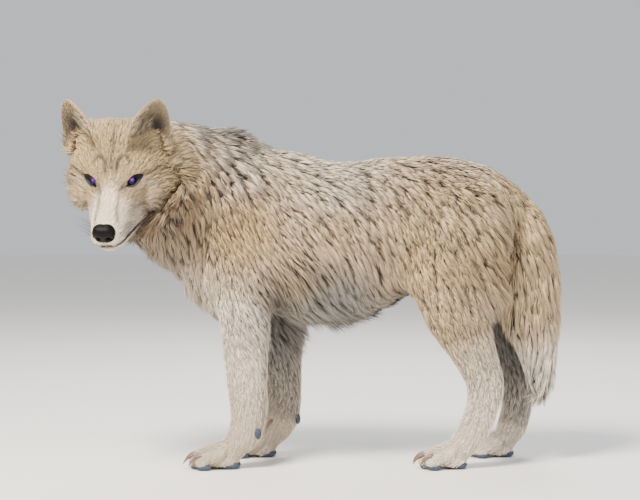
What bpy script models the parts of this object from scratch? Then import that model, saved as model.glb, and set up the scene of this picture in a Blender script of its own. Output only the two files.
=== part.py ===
"""A standing arctic wolf, life size, as one still model parted into named solids.

Metres, +Z up. The wolf faces -X with its left side towards -Y, and its head is turned to its left.
The flesh is one form, fused from masses laid along the skeleton, and thin cuts part it.
"""

import math

import bmesh
import bpy
from mathutils import Matrix, Vector

# Driving dimensions, all out to the tips of the coat.
BODY_VOXEL = 0.010        # grain in which the body's masses are melted together
FUSE_VOXEL = 0.0060       # grain of the whole, with head and paws, before it is thinned
FLESH_TRIANGLES = 3120    # what the fused flesh is thinned to
TAIL_TRIANGLES = 320
EAR_TRIANGLES = 200
CUT = 0.0006              # width of the cuts between parts
GAP = 0.0004              # clearance round a part that is set into another
SLIVER = 0.0008           # area, in square metres, under which a cut-off scrap is dropped
SIDES = {"left": -1, "right": 1}

# How far the right legs stand behind the left ones, and the right hind paw behind its hock.
FORE_BACK = {"left": 0.0, "right": 0.083}
HIND_BACK = {"left": 0.0, "right": 0.096}
PAW_BACK = {"left": -0.008, "right": 0.032}
FORE_PAW_X = -0.236       # middle of the left front paw's big pad
HIND_PAW_X = 0.330
LEG_Y = 0.090             # half the width between the legs

# Head: place of the point midway between the eyes, and how the head is carried.
HEAD_AT = Vector((-0.492, -0.200, 0.710))
HEAD_TURN = 83            # degrees from straight ahead towards the wolf's left
HEAD_NOD = 41.5           # degrees below level
HEAD_SCALE = 1.10

# In head space: +X along the muzzle, +Y to the wolf's left, +Z to the crown.
EYE_RADIUS = 0.0128
EYE_AT = Vector((0.003, 0.0400, -0.003))
NOSE_AT = Vector((0.134, 0.0, -0.0385))
NOSE_HALF = (0.0165, 0.0235, 0.0180)
EAR_ROOT = Vector((-0.082, 0.066, 0.012))
EAR_TIP = Vector((-0.106, 0.104, 0.130))
EAR_HALF_WIDTH = 0.040
EAR_THICKNESS = 0.011
HEAD_CUT_ROOM = 0.022     # how far outside the skull's sections the head is parted from the neck

# Sections of skull, ruff and muzzle: place along X, top, widest level, bottom, half width,
# squareness above and below that level.
SKULL = (
    (-0.150, 0.040, -0.040, -0.105, 0.078, 2.0, 2.0),
    (-0.118, 0.070, -0.053, -0.143, 0.117, 1.9, 2.3),
    (-0.086, 0.071, -0.060, -0.154, 0.132, 1.75, 2.4),
    (-0.056, 0.060, -0.056, -0.150, 0.127, 1.8, 2.3),
    (-0.030, 0.046, -0.048, -0.135, 0.108, 2.0, 2.1),
    (-0.006, 0.031, -0.042, -0.117, 0.078, 2.1, 2.0),
    (0.016, 0.013, -0.042, -0.107, 0.0590, 2.2, 2.0),
    (0.040, 0.000, -0.047, -0.100, 0.0470, 2.3, 2.1),
    (0.068, -0.008, -0.053, -0.098, 0.0395, 2.4, 2.2),
    (0.096, -0.015, -0.057, -0.098, 0.0360, 2.5, 2.3),
    (0.120, -0.022, -0.058, -0.096, 0.0325, 2.4, 2.2),
    (0.137, -0.033, -0.056, -0.086, 0.0220, 2.2, 2.2),
)

# Toes, forward of and sideways from the middle of the big pad.
TOES = ((-0.035, 0.040), (-0.0125, 0.056), (0.0125, 0.056), (0.035, 0.040))
CLAW = 0.030              # length along the curve, with the buried root
CLAW_THICK = 0.0052       # half its height at the root
CLAW_BEND = math.radians(50)

COLOURS = {
    "cream_coat": ((0.60, 0.49, 0.36), 0.85),
    "pale_coat": ((0.74, 0.66, 0.56), 0.85),
    "tan_coat": ((0.47, 0.38, 0.28), 0.85),
    "nose_leather": ((0.012, 0.012, 0.012), 0.35),
    "claw_horn": ((0.16, 0.11, 0.09), 0.45),
    "eye_wet": ((0.16, 0.03, 0.35), 0.08),
}


def clear_scene():
    for old in list(bpy.data.objects):
        bpy.data.objects.remove(old, do_unlink=True)


def new_collection(name):
    made = bpy.data.collections.new(name)
    bpy.context.scene.collection.children.link(made)
    return made


def coloured(obj, name):
    """Gives the object a material of its own in one of the named colours."""
    colour, roughness = COLOURS[name]
    made = bpy.data.materials.new(name + "_" + obj.name)
    made.use_nodes = True
    shader = made.node_tree.nodes["Principled BSDF"]
    shader.inputs["Base Color"].default_value = (*colour, 1)
    shader.inputs["Roughness"].default_value = roughness
    shader.inputs["Metallic"].default_value = 0
    obj.data.materials.clear()
    obj.data.materials.append(made)
    return obj


# ---------------------------------------------------------------- shapes

def smooth_between(rows, steps):
    """Rows of numbers with Catmull-Rom rows put between them."""
    full = [rows[0]] + list(rows) + [rows[-1]]
    out = []
    for i in range(1, len(full) - 2):
        a, b, c, d = full[i - 1:i + 3]
        for k in range(steps):
            t = k / steps
            out.append([
                0.5 * (2 * q + (r - p) * t + (2 * p - 5 * q + 4 * r - s) * t * t
                       + (3 * q - p - 3 * r + s) * t ** 3)
                for p, q, r, s in zip(a, b, c, d)
            ])
    out.append(list(rows[-1]))
    return out


def skin_rings(bm, rings):
    """Faces between closed rings of vertices, with a cap at each end."""
    count = len(rings[0])
    for one, two in zip(rings, rings[1:]):
        for k in range(count):
            n = (k + 1) % count
            bm.faces.new((one[k], one[n], two[n], two[k]))
    bm.faces.new(rings[0][::-1])
    bm.faces.new(rings[-1])


def loft(bm, stations, depth_way, steps=4, sides=28, egg=0.0):
    """A closed tube through stations (x, y, z, half depth, half width).

    Depth is measured along depth_way, squared to the path, and width across both.
    egg narrows the side that depth_way points to.
    """
    rows = smooth_between(stations, steps)
    centres = [Vector(r[:3]) for r in rows]
    rings = []
    for i, row in enumerate(rows):
        along = (centres[min(i + 1, len(rows) - 1)] - centres[max(i - 1, 0)]).normalized()
        deep = (Vector(depth_way) - along * along.dot(Vector(depth_way))).normalized()
        wide = along.cross(deep)
        ring = []
        for k in range(sides):
            a = 2 * math.pi * k / sides
            taper = 1 - egg * math.cos(a)
            spot = centres[i] + deep * row[3] * math.cos(a) + wide * row[4] * math.sin(a) * taper
            ring.append(bm.verts.new(spot))
        rings.append(ring)
    skin_rings(bm, rings)


def section_loft(bm, stations, frame, steps=4, sides=36):
    """A tube along X whose sections have their own top, widest level and bottom.

    Stations are (x, top, widest level, bottom, half width, squareness above, squareness below).
    Squareness 2 is an ellipse, less is nearer a diamond and more is nearer a box.
    """
    rings = []
    for x, top, level, bottom, half, above, below in smooth_between(stations, steps):
        ring = []
        for k in range(sides):
            a = 2 * math.pi * k / sides
            c, s = math.cos(a), math.sin(a)
            power = 2 / (above if c > 0 else below)
            height = (top - level) if c > 0 else (level - bottom)
            y = half * math.copysign(abs(s) ** power, s)
            z = level + height * math.copysign(abs(c) ** power, c)
            ring.append(bm.verts.new(frame @ Vector((x, y, z))))
        rings.append(ring)
    skin_rings(bm, rings)


def turned(turn):
    """A rotation by degrees about X, then Y, then Z."""
    spin = Matrix.Identity(4)
    for axis, degrees in zip("XYZ", turn):
        spin = Matrix.Rotation(math.radians(degrees), 4, axis) @ spin
    return spin


def mass(bm, centre, half, turn=(0, 0, 0), frame=None, segments=24, rings=16):
    """An ellipsoid, turned by degrees about X, Y and Z."""
    place = Matrix.Translation(centre) @ turned(turn) @ Matrix.Diagonal((*half, 1))
    if frame:
        place = frame @ place
    return bmesh.ops.create_uvsphere(bm, u_segments=segments, v_segments=rings, radius=1, matrix=place)


def to_object(bm, name, collection):
    bmesh.ops.recalc_face_normals(bm, faces=bm.faces)
    mesh = bpy.data.meshes.new(name)
    bm.to_mesh(mesh)
    bm.free()
    made = bpy.data.objects.new(name, mesh)
    collection.objects.link(made)
    return made


def as_helper(obj):
    obj.hide_render = True
    obj.display_type = "WIRE"
    return obj


def bake_modifiers(obj):
    """Makes the object's modifiers part of its mesh."""
    bpy.context.view_layer.update()
    graph = bpy.context.evaluated_depsgraph_get()
    mesh = bpy.data.meshes.new_from_object(obj.evaluated_get(graph))
    obj.modifiers.clear()
    obj.data = mesh
    return obj


def fuse(obj, voxel, rounds, cutters=()):
    """Melts overlapping masses into one skin, digs the hollows and softens the creases."""
    melt = obj.modifiers.new("melt", "REMESH")
    melt.mode = "VOXEL"
    melt.voxel_size = voxel
    for cutter in cutters:
        dig = obj.modifiers.new("dig", "BOOLEAN")
        dig.object = cutter
    soften = obj.modifiers.new("soften", "SMOOTH")
    soften.factor = 0.5
    soften.iterations = rounds
    return bake_modifiers(obj)


def thin(obj, triangles):
    fewer = obj.modifiers.new("thin", "DECIMATE")
    fewer.ratio = triangles / sum(len(p.vertices) - 2 for p in obj.data.polygons)
    fewer.use_collapse_triangulate = True
    return bake_modifiers(obj)


def cut_by(obj, cutters, tidy=False):
    """Takes the cutters away in turn. tidy first mends folds where the mesh runs through itself."""
    for cutter in cutters:
        step = obj.modifiers.new("cut", "BOOLEAN")
        step.object = cutter
        step.use_self = tidy and cutter == cutters[0]
    return bake_modifiers(obj)


def grown(obj, collection, by=GAP):
    """A copy let out all round, which cuts a pocket that holds the part with clearance."""
    made = obj.copy()
    made.data = obj.data.copy()
    made.name = "pocket_" + obj.name
    collection.objects.link(made)
    grow = made.modifiers.new("grow", "DISPLACE")
    grow.strength = by
    grow.mid_level = 0
    return as_helper(bake_modifiers(made))


def plate(name, collection, centre, half, turn=(0, 0, 0)):
    """A flat cutter, thin along its own Z."""
    bm = bmesh.new()
    place = Matrix.Translation(centre) @ turned(turn)
    bmesh.ops.create_cube(bm, size=1, matrix=place @ Matrix.Diagonal((2 * half[0], 2 * half[1], CUT, 1)))
    return as_helper(to_object(bm, "plate_" + name, collection))


def bowl(name, collection, centre, half, keep):
    """A thin cutter shaped like an ellipsoid's shell, open below keep on its own Z axis (-1 to 1)."""
    bm = bmesh.new()
    bmesh.ops.create_uvsphere(bm, u_segments=16, v_segments=10, radius=1)
    everything = bm.verts[:] + bm.edges[:] + bm.faces[:]
    bmesh.ops.bisect_plane(bm, geom=everything, plane_co=(0, 0, keep), plane_no=(0, 0, 1), clear_inner=True)
    place = Matrix.Translation(centre) @ Matrix.Diagonal((*half, 1))
    bmesh.ops.transform(bm, verts=bm.verts, matrix=place)
    bmesh.ops.triangulate(bm, faces=bm.faces)       # so that both walls of the shell fold alike
    made = to_object(bm, "bowl_" + name, collection)
    shell = made.modifiers.new("shell", "SOLIDIFY")
    shell.thickness = CUT
    shell.offset = 0
    return as_helper(bake_modifiers(made))


# ---------------------------------------------------------------- flesh masses

def add_trunk(bm):
    # x, y, z of the middle, half height, half width
    stations = [
        (-0.315, 0, 0.590, 0.095, 0.070),
        (-0.280, 0, 0.592, 0.158, 0.108),
        (-0.200, 0, 0.587, 0.205, 0.138),
        (-0.100, 0, 0.582, 0.203, 0.148),
        (0.000, 0, 0.563, 0.198, 0.148),
        (0.100, 0, 0.571, 0.190, 0.140),
        (0.200, 0, 0.598, 0.175, 0.126),
        (0.300, 0, 0.620, 0.152, 0.122),
        (0.380, 0, 0.617, 0.138, 0.118),
        (0.440, 0, 0.604, 0.112, 0.098),
        (0.475, 0, 0.590, 0.075, 0.068),
    ]
    loft(bm, stations, (0, 0, 1), egg=0.10)
    mass(bm, (-0.205, 0, 0.700), (0.125, 0.085, 0.100))                   # withers under the mane
    mass(bm, (-0.260, 0, 0.447), (0.069, 0.092, 0.138), (0, -40, 0))      # breast
    mass(bm, (0.020, 0, 0.430), (0.190, 0.100, 0.076), (0, -3, 0))        # long belly hair
    mass(bm, (0.378, 0, 0.655), (0.110, 0.098, 0.096), (0, 14, 0))        # croup


def add_neck(bm):
    stations = [
        (-0.190, 0.000, 0.625, 0.187, 0.120),
        (-0.260, 0.000, 0.645, 0.193, 0.132),
        (-0.330, -0.018, 0.673, 0.183, 0.130),
        (-0.392, -0.048, 0.706, 0.160, 0.124),
        (-0.440, -0.086, 0.735, 0.136, 0.118),
        (-0.462, -0.122, 0.756, 0.106, 0.106),
    ]
    loft(bm, stations, (0.25, 0, 1), egg=0.05)
    mass(bm, (-0.388, -0.050, 0.583), (0.073, 0.090, 0.098), (0, -35, 0))   # throat ruff
    mass(bm, (-0.300, 0.000, 0.756), (0.130, 0.072, 0.088), (0, 14, 0))     # mane along the crest


def add_tail(bm):
    """A bushy brush, hanging straight and a little to the left of the right thigh."""
    stations = [
        (0.448, 0.000, 0.672, 0.040, 0.040),
        (0.478, 0.000, 0.650, 0.047, 0.046),
        (0.510, -0.004, 0.600, 0.052, 0.050),
        (0.5255, -0.008, 0.545, 0.059, 0.054),
        (0.5235, -0.010, 0.470, 0.074, 0.058),
        (0.5230, -0.010, 0.4075, 0.079, 0.060),
        (0.5300, -0.010, 0.3525, 0.069, 0.056),
        (0.5400, -0.009, 0.295, 0.054, 0.047),
        (0.5490, -0.008, 0.2325, 0.0405, 0.036),
        (0.5540, -0.007, 0.1775, 0.022, 0.020),
        (0.5525, -0.006, 0.143, 0.005, 0.005),
    ]
    loft(bm, stations, (1, 0, 0), sides=32)


def add_foreleg(bm, side, back):
    y = LEG_Y * side
    mass(bm, (-0.205, 0.088 * side, 0.610), (0.082, 0.058, 0.150), (0, 18, 0))                # shoulder
    mass(bm, (-0.222 + back * 0.3, 0.096 * side, 0.500), (0.078, 0.052, 0.090), (0, -35, 0))  # upper arm
    mass(bm, (-0.142 + back, 0.098 * side, 0.440), (0.040, 0.036, 0.052), (0, 30, 0))         # elbow
    stations = [
        (-0.195 + back * 0.6, 0.094 * side, 0.500, 0.078, 0.050),
        (-0.188 + back * 0.9, 0.094 * side, 0.440, 0.074, 0.049),
        (-0.184 + back, 0.093 * side, 0.380, 0.066, 0.046),
        (-0.184 + back, 0.091 * side, 0.320, 0.060, 0.043),
        (-0.181 + back, y, 0.250, 0.056, 0.040),
        (-0.177 + back, y, 0.185, 0.052, 0.038),
        (-0.175 + back, y, 0.130, 0.048, 0.038),
        (-0.179 + back, y, 0.098, 0.045, 0.039),
        (-0.198 + back, y, 0.066, 0.039, 0.039),
        (-0.228 + back, y, 0.042, 0.031, 0.039),
    ]
    loft(bm, stations, (1, 0, 0.05))


def add_hindleg(bm, side, back, paw_back):
    y = LEG_Y * side
    mass(bm, (0.358, 0.090 * side, 0.560), (0.112, 0.062, 0.150), (0, 12, 0))                 # thigh
    mass(bm, (0.396 + back * 0.15, 0.088 * side, 0.490), (0.056, 0.056, 0.115), (0, -4, 0))   # ham
    mass(bm, (0.270 + back * 0.3, 0.098 * side, 0.452), (0.062, 0.046, 0.088), (0, -28, 0))   # stifle
    stations = [
        (0.328 + back * 0.3, 0.094 * side, 0.500, 0.107, 0.056),
        (0.324 + back * 0.5, 0.098 * side, 0.430, 0.098, 0.055),
        (0.341 + back * 0.8, 0.098 * side, 0.360, 0.078, 0.049),
        (0.368 + back * 0.95, 0.096 * side, 0.300, 0.062, 0.042),
        (0.394 + back, 0.094 * side, 0.245, 0.054, 0.037),
        (0.407 + back, y, 0.205, 0.051, 0.035),
        (0.403 + back + paw_back * 0.25, y, 0.160, 0.046, 0.034),
        (0.390 + back + paw_back * 0.5, y, 0.112, 0.044, 0.035),
        (0.368 + back + paw_back * 0.8, y, 0.070, 0.041, 0.037),
        (0.337 + back + paw_back, y, 0.042, 0.033, 0.038),
    ]
    loft(bm, stations, (1, 0, 0.15))
    mass(bm, (0.436 + back, y, 0.214), (0.020, 0.020, 0.036), (0, -20, 0))                    # heel


def paw_places():
    """Name, middle of the big pad and size of each paw."""
    for name, side in SIDES.items():
        yield "fore_" + name, Vector((FORE_PAW_X + FORE_BACK[name], LEG_Y * side, 0)), 1.0
        yield "hind_" + name, Vector((HIND_PAW_X + HIND_BACK[name] + PAW_BACK[name], LEG_Y * side, 0)), 0.95


def add_paw(bm, at, size):
    """Four toes round a big pad, pointing towards -X."""
    def spot(forward, across, up):
        return at + Vector((-forward, across, up)) * size

    def half(*three):
        return [v * size for v in three]

    mass(bm, spot(-0.004, 0, 0.016), half(0.038, 0.040, 0.024))
    mass(bm, spot(0.014, 0, 0.042), half(0.046, 0.041, 0.025), (0, -26, 0))
    for across, reach in TOES:
        mass(bm, spot(reach - 0.012, across * 0.96, 0.032), half(0.031, 0.0165, 0.0240), (0, -12, 0))
        mass(bm, spot(reach + 0.010, across * 1.06, 0.016), half(0.0205, 0.0152, 0.0185))


# ---------------------------------------------------------------- head

def head_frame():
    """Head space, with its zero midway between the eyes, set on the body."""
    to_body = Matrix.Rotation(math.radians(180 + HEAD_TURN), 4, "Z")
    nod = Matrix.Rotation(math.radians(HEAD_NOD), 4, "Y")
    return Matrix.Translation(HEAD_AT) @ to_body @ nod @ Matrix.Scale(HEAD_SCALE, 4)


def mirrored(spot, side):
    return Vector((spot.x, spot.y * side, spot.z))


def ear_axes(side):
    """Root, direction of the tip, direction the cup faces, and direction across."""
    root = mirrored(EAR_ROOT, side)
    up = (mirrored(EAR_TIP, side) - root)
    length = up.length
    up.normalize()
    faces_to = Vector((0.88, 0.42 * side, 0.10))
    faces_to = (faces_to - up * faces_to.dot(up)).normalized()
    return root, up, faces_to, up.cross(faces_to), length


def add_head(bm, frame):
    """The skull, ruff and muzzle as one loft, then the masses that give the face its planes."""
    section_loft(bm, SKULL, frame)
    mass(bm, (-0.030, 0, 0.014), (0.046, 0.036, 0.026), (0, 22, 0), frame)     # forehead down to the stop
    mass(bm, (0.112, 0, -0.0855), (0.024, 0.021, 0.0125), (0, 0, 0), frame)    # chin
    mass(bm, (-0.070, 0.030, -0.135), (0.062, 0.100, 0.055), (0, 30, 0), frame)  # ruff under the jaw
    for side in SIDES.values():
        brow = (-0.018, 0.0350 * side, 0.0150)
        mass(bm, brow, (0.036, 0.0165, 0.0105), (0, 20, -30 * side), frame)
        cheekbone = (0.000, 0.0455 * side, -0.0290)
        mass(bm, cheekbone, (0.046, 0.0130, 0.0130), (0, 10, -26 * side), frame)
        whisker_pad = (0.102, 0.0160 * side, -0.058)
        mass(bm, whisker_pad, (0.032, 0.0205, 0.0230), (0, 4, -4 * side), frame)
        root, up, faces_to, across, length = ear_axes(side)
        basis = Matrix((faces_to, across, up)).transposed().to_4x4()
        place = Matrix.Translation(root + up * 0.012 - faces_to * 0.012) @ basis
        bmesh.ops.create_uvsphere(bm, u_segments=24, v_segments=16, radius=1,
                                  matrix=frame @ place @ Matrix.Diagonal((0.026, 0.036, 0.034, 1)))


def eye_sockets(frame, collection):
    """Cutters for the hollows between brow, cheekbone and bridge."""
    made = []
    for name, side in SIDES.items():
        bm = bmesh.new()
        centre = mirrored(EYE_AT + Vector((0.005, 0.0125, -0.001)), side)
        mass(bm, centre, (0.0175, 0.0100, 0.0085), (0, 26, -36 * side), frame)
        made.append(as_helper(to_object(bm, "socket_" + name, collection)))
    return made


def add_eye(name, side, frame, collection):
    bm = bmesh.new()
    mass(bm, mirrored(EYE_AT, side), (EYE_RADIUS,) * 3, (0, 90, 0), frame, segments=12, rings=7)
    return to_object(bm, name, collection)


def add_nose(frame, collection):
    """The bare pad, squared off, with a groove down its front and a hollow for each nostril."""
    bm = bmesh.new()
    bmesh.ops.create_cube(bm, size=2)
    bmesh.ops.subdivide_edges(bm, edges=bm.edges, cuts=3, use_grid_fill=True)
    for v in bm.verts:
        round_way = v.co.normalized() * max(abs(c) for c in v.co)
        p = v.co.lerp(round_way, 0.62)
        narrow = 1 - 0.20 * max(0.0, -p.z)
        v.co = Vector((p.x * NOSE_HALF[0], p.y * NOSE_HALF[1] * narrow, p.z * NOSE_HALF[2]))
    for v in bm.verts:
        if v.co.x > 0:
            groove = math.exp(-(v.co.y / 0.003) ** 2) * 0.0016
            hole = max(math.exp(-((v.co.y - s * 0.0125) / 0.005) ** 2 - ((v.co.z + 0.003) / 0.005) ** 2)
                       for s in SIDES.values()) * 0.0045
            v.co.x -= groove + hole
    place = frame @ Matrix.Translation(NOSE_AT) @ Matrix.Rotation(math.radians(8), 4, "Y")
    bmesh.ops.transform(bm, verts=bm.verts, matrix=place)
    bmesh.ops.triangulate(bm, faces=bm.faces)
    return to_object(bm, "nose", collection)


def add_ear(name, side, frame, collection):
    """A rounded leaf, cupped to the front, thickened to a furred shell."""
    rows, columns = 8, 7
    root, up, faces_to, across, length = ear_axes(side)
    bm = bmesh.new()
    grid = []
    for i in range(rows):
        v = i / (rows - 1) * 0.995
        belly = 0.74 + 0.26 * math.sin(math.pi * min(1, v / 0.55) * 0.5)
        half = EAR_HALF_WIDTH * belly * math.sqrt(1 - max(0.0, (v - 0.30) / 0.70) ** 2.2) + 0.002
        curl = math.radians(70) * (1 - 0.55 * v)     # how far each edge turns forward
        radius = half / math.sin(curl)
        line = []
        for k in range(columns):
            angle = (2 * k / (columns - 1) - 1) * curl
            spot = root + up * length * v - faces_to * 0.006
            spot += across * radius * math.sin(angle) + faces_to * radius * (1 - math.cos(angle))
            line.append(bm.verts.new(frame @ spot))
        grid.append(line)
    for i in range(rows - 1):
        for k in range(columns - 1):
            bm.faces.new((grid[i][k], grid[i][k + 1], grid[i + 1][k + 1], grid[i + 1][k]))
    made = to_object(bm, name, collection)
    shell = made.modifiers.new("shell", "SOLIDIFY")
    shell.thickness = EAR_THICKNESS
    shell.offset = 0
    round_off = made.modifiers.new("round", "SUBSURF")
    round_off.levels = round_off.render_levels = 1
    return thin(bake_modifiers(made), EAR_TRIANGLES)


def add_claw(name, at, way, size, collection):
    """A curved, tapering claw. way points forward and may lean sideways."""
    bm = bmesh.new()
    way = Vector(way).normalized()
    across = way.cross(Vector((0, 0, 1))).normalized()
    rings = []
    steps, sides = 3, 6
    for i in range(steps):
        t = i / (steps - 1)
        bend = t * CLAW_BEND
        curve = way * math.sin(bend) + Vector((0, 0, math.cos(bend) - 1))
        centre = at + curve * CLAW * size / CLAW_BEND
        along = (way * math.cos(bend) - Vector((0, 0, math.sin(bend)))).normalized()
        up = across.cross(along)
        high = CLAW_THICK * size * (1 - 0.80 * t ** 1.4)
        ring = []
        for k in range(sides):
            a = 2 * math.pi * k / sides
            ring.append(bm.verts.new(centre + up * high * math.cos(a) + across * high * 0.62 * math.sin(a)))
        rings.append(ring)
    skin_rings(bm, rings)
    bmesh.ops.triangulate(bm, faces=bm.faces)
    return to_object(bm, name, collection)


def add_claws(collection):
    made = []
    for name, at, size in paw_places():
        for number, (across, reach) in enumerate(TOES, 1):
            root = at + Vector((-(reach + 0.016), across * 1.06, 0.0235)) * size
            made.append(add_claw(f"claw_{name}_{number}", root, (-1, across * 3, 0), size, collection))
        if name.startswith("fore"):
            inward = 1 if at.y < 0 else -1
            root = at + Vector((0.026, 0.030 * inward, 0.088))
            way = (-0.7, 0.75 * inward, -0.9)
            made.append(add_claw("dewclaw_" + name[5:], root, way, 0.85, collection))
    return made


# ---------------------------------------------------------------- parting

def head_cut(frame, collection):
    """A thin closed shell a little outside the skull's loft, which parts the head from the neck."""
    room = HEAD_CUT_ROOM
    rows = [(x, top + room, level, bottom - room, half + room, 2, 2)
            for x, top, level, bottom, half, above, below in SKULL[::2] + SKULL[-1:]]
    rows[0] = (rows[0][0] - room * 0.4,) + rows[0][1:]
    rows.append((rows[-1][0] + room,) + rows[-1][1:])
    bm = bmesh.new()
    section_loft(bm, rows, frame, steps=1, sides=14)
    bmesh.ops.triangulate(bm, faces=bm.faces)       # so that both walls of the shell fold alike
    made = to_object(bm, "head_cut", collection)
    shell = made.modifiers.new("shell", "SOLIDIFY")
    shell.thickness = CUT
    shell.offset = 0
    return as_helper(bake_modifiers(made))


def jaw_cut(frame, collection):
    """A bent sheet along the closed lips, then down behind the corners of the mouth."""
    path = ((0.165, -0.0770), (0.120, -0.0765), (0.075, -0.0760), (0.026, -0.0700), (-0.012, -0.2000))
    bm = bmesh.new()
    rows = [[bm.verts.new(frame @ Vector((x, y, z))) for y in (-0.150, 0.150)] for x, z in path]
    for one, two in zip(rows, rows[1:]):
        bm.faces.new((one[0], one[1], two[1], two[0]))
    made = to_object(bm, "jaw_cut", collection)
    shell = made.modifiers.new("shell", "SOLIDIFY")
    shell.thickness = CUT
    shell.offset = 0
    return as_helper(bake_modifiers(made))


def floor_cut(collection):
    """A block whose top is the floor, which takes the soles down to small flats."""
    bm = bmesh.new()
    block = Matrix.Translation((0, 0, -0.25)) @ Matrix.Diagonal((2, 2, 0.5, 1))
    bmesh.ops.create_cube(bm, size=1, matrix=block)
    return as_helper(to_object(bm, "floor_cut", collection))


def part_cutters(frame, collection):
    """The thin cutters and, for each part, a spot inside it."""
    cutters = [
        head_cut(frame, collection),
        plate("neck", collection, (-0.268, 0, 0.620), (0.260, 0.200), (0, 100, 0)),
    ]
    spots = {
        "head": frame @ Vector((-0.03, 0, -0.01)),
        "neck": Vector((-0.36, -0.03, 0.68)),
        "trunk": Vector((0.05, 0, 0.58)),
    }
    for name, side in SIDES.items():
        fore, hind = FORE_BACK[name], HIND_BACK[name]
        cutters += [
            bowl("shoulder_" + name, collection, (-0.172 + fore * 0.6, 0.158 * side, 0.400),
                 (0.120, 0.126, 0.320), -0.27),
            plate("elbow_" + name, collection, (-0.172 + fore * 0.6, 0.100 * side, 0.385),
                  (0.126, 0.070), (0, 6, 0)),
            plate("wrist_" + name, collection, (-0.185 + fore, LEG_Y * side, 0.108),
                  (0.075, 0.060), (0, 14, 0)),
            bowl("hip_" + name, collection, (0.345 + hind * 0.4, 0.166 * side, 0.430),
                 (0.158, 0.130, 0.275), -0.18),
            plate("knee_" + name, collection, (0.336 + hind * 0.7, 0.098 * side, 0.378),
                  (0.118, 0.062), (0, -14, 0)),
            plate("hind_wrist_" + name, collection,
                  (0.382 + hind + PAW_BACK[name] * 0.6, LEG_Y * side, 0.092), (0.075, 0.060), (0, 18, 0)),
        ]
        spots["upper_foreleg_" + name] = Vector((-0.200 + fore * 0.4, 0.110 * side, 0.500))
        spots["lower_foreleg_" + name] = Vector((-0.184 + fore, 0.090 * side, 0.250))
        spots["fore_paw_" + name] = Vector((-0.220 + fore, 0.090 * side, 0.040))
        spots["thigh_" + name] = Vector((0.345 + hind * 0.2, 0.105 * side, 0.520))
        spots["shank_" + name] = Vector((0.385 + hind, 0.094 * side, 0.240))
        spots["hind_paw_" + name] = Vector((0.345 + hind + PAW_BACK[name], 0.090 * side, 0.040))
    return cutters, spots


def loose_parts(obj):
    """The separate closed bodies of a mesh, as lists of faces."""
    bm = bmesh.new()
    bm.from_mesh(obj.data)
    seen = set()
    groups = []
    for face in bm.faces:
        if face in seen:
            continue
        group, edge_of_walk = [], [face]
        seen.add(face)
        while edge_of_walk:
            f = edge_of_walk.pop()
            group.append(f)
            for e in f.edges:
                for g in e.link_faces:
                    if g not in seen:
                        seen.add(g)
                        edge_of_walk.append(g)
        groups.append(group)
    return bm, groups


def part_into(flesh, spots, collection):
    """Makes an object of each piece, named by the spot nearest its middle."""
    bm, groups = loose_parts(flesh)
    found = {}
    for group in groups:
        middle = sum((f.calc_center_median() * f.calc_area() for f in group), Vector())
        area = sum(f.calc_area() for f in group)
        middle /= area
        if area < SLIVER:
            continue
        name = min(spots, key=lambda n: (spots[n] - middle).length)
        found.setdefault(name, []).append((area, group))
    made = []
    for name, pieces in found.items():
        area, group = max(pieces, key=lambda pair: pair[0])
        piece = bmesh.new()
        copies = {}
        for f in group:
            for v in f.verts:
                if v not in copies:
                    copies[v] = piece.verts.new(v.co)
        for f in group:
            piece.faces.new([copies[v] for v in f.verts])
        mesh = bpy.data.meshes.new(name)
        piece.to_mesh(mesh)
        piece.free()
        obj = bpy.data.objects.new(name, mesh)
        collection.objects.link(obj)
        made.append(obj)
    bm.free()
    return made


def stand_centred(parts):
    """Puts the middle of the whole's footprint at the origin, with the soles at zero height."""
    corners = [v.co for obj in parts.objects for v in obj.data.vertices]
    low = [min(c[i] for c in corners) for i in range(3)]
    high = [max(c[i] for c in corners) for i in range(3)]
    shift = Matrix.Translation((-(low[0] + high[0]) / 2, -(low[1] + high[1]) / 2, 0))
    for obj in parts.objects:
        obj.data.transform(shift)


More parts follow.
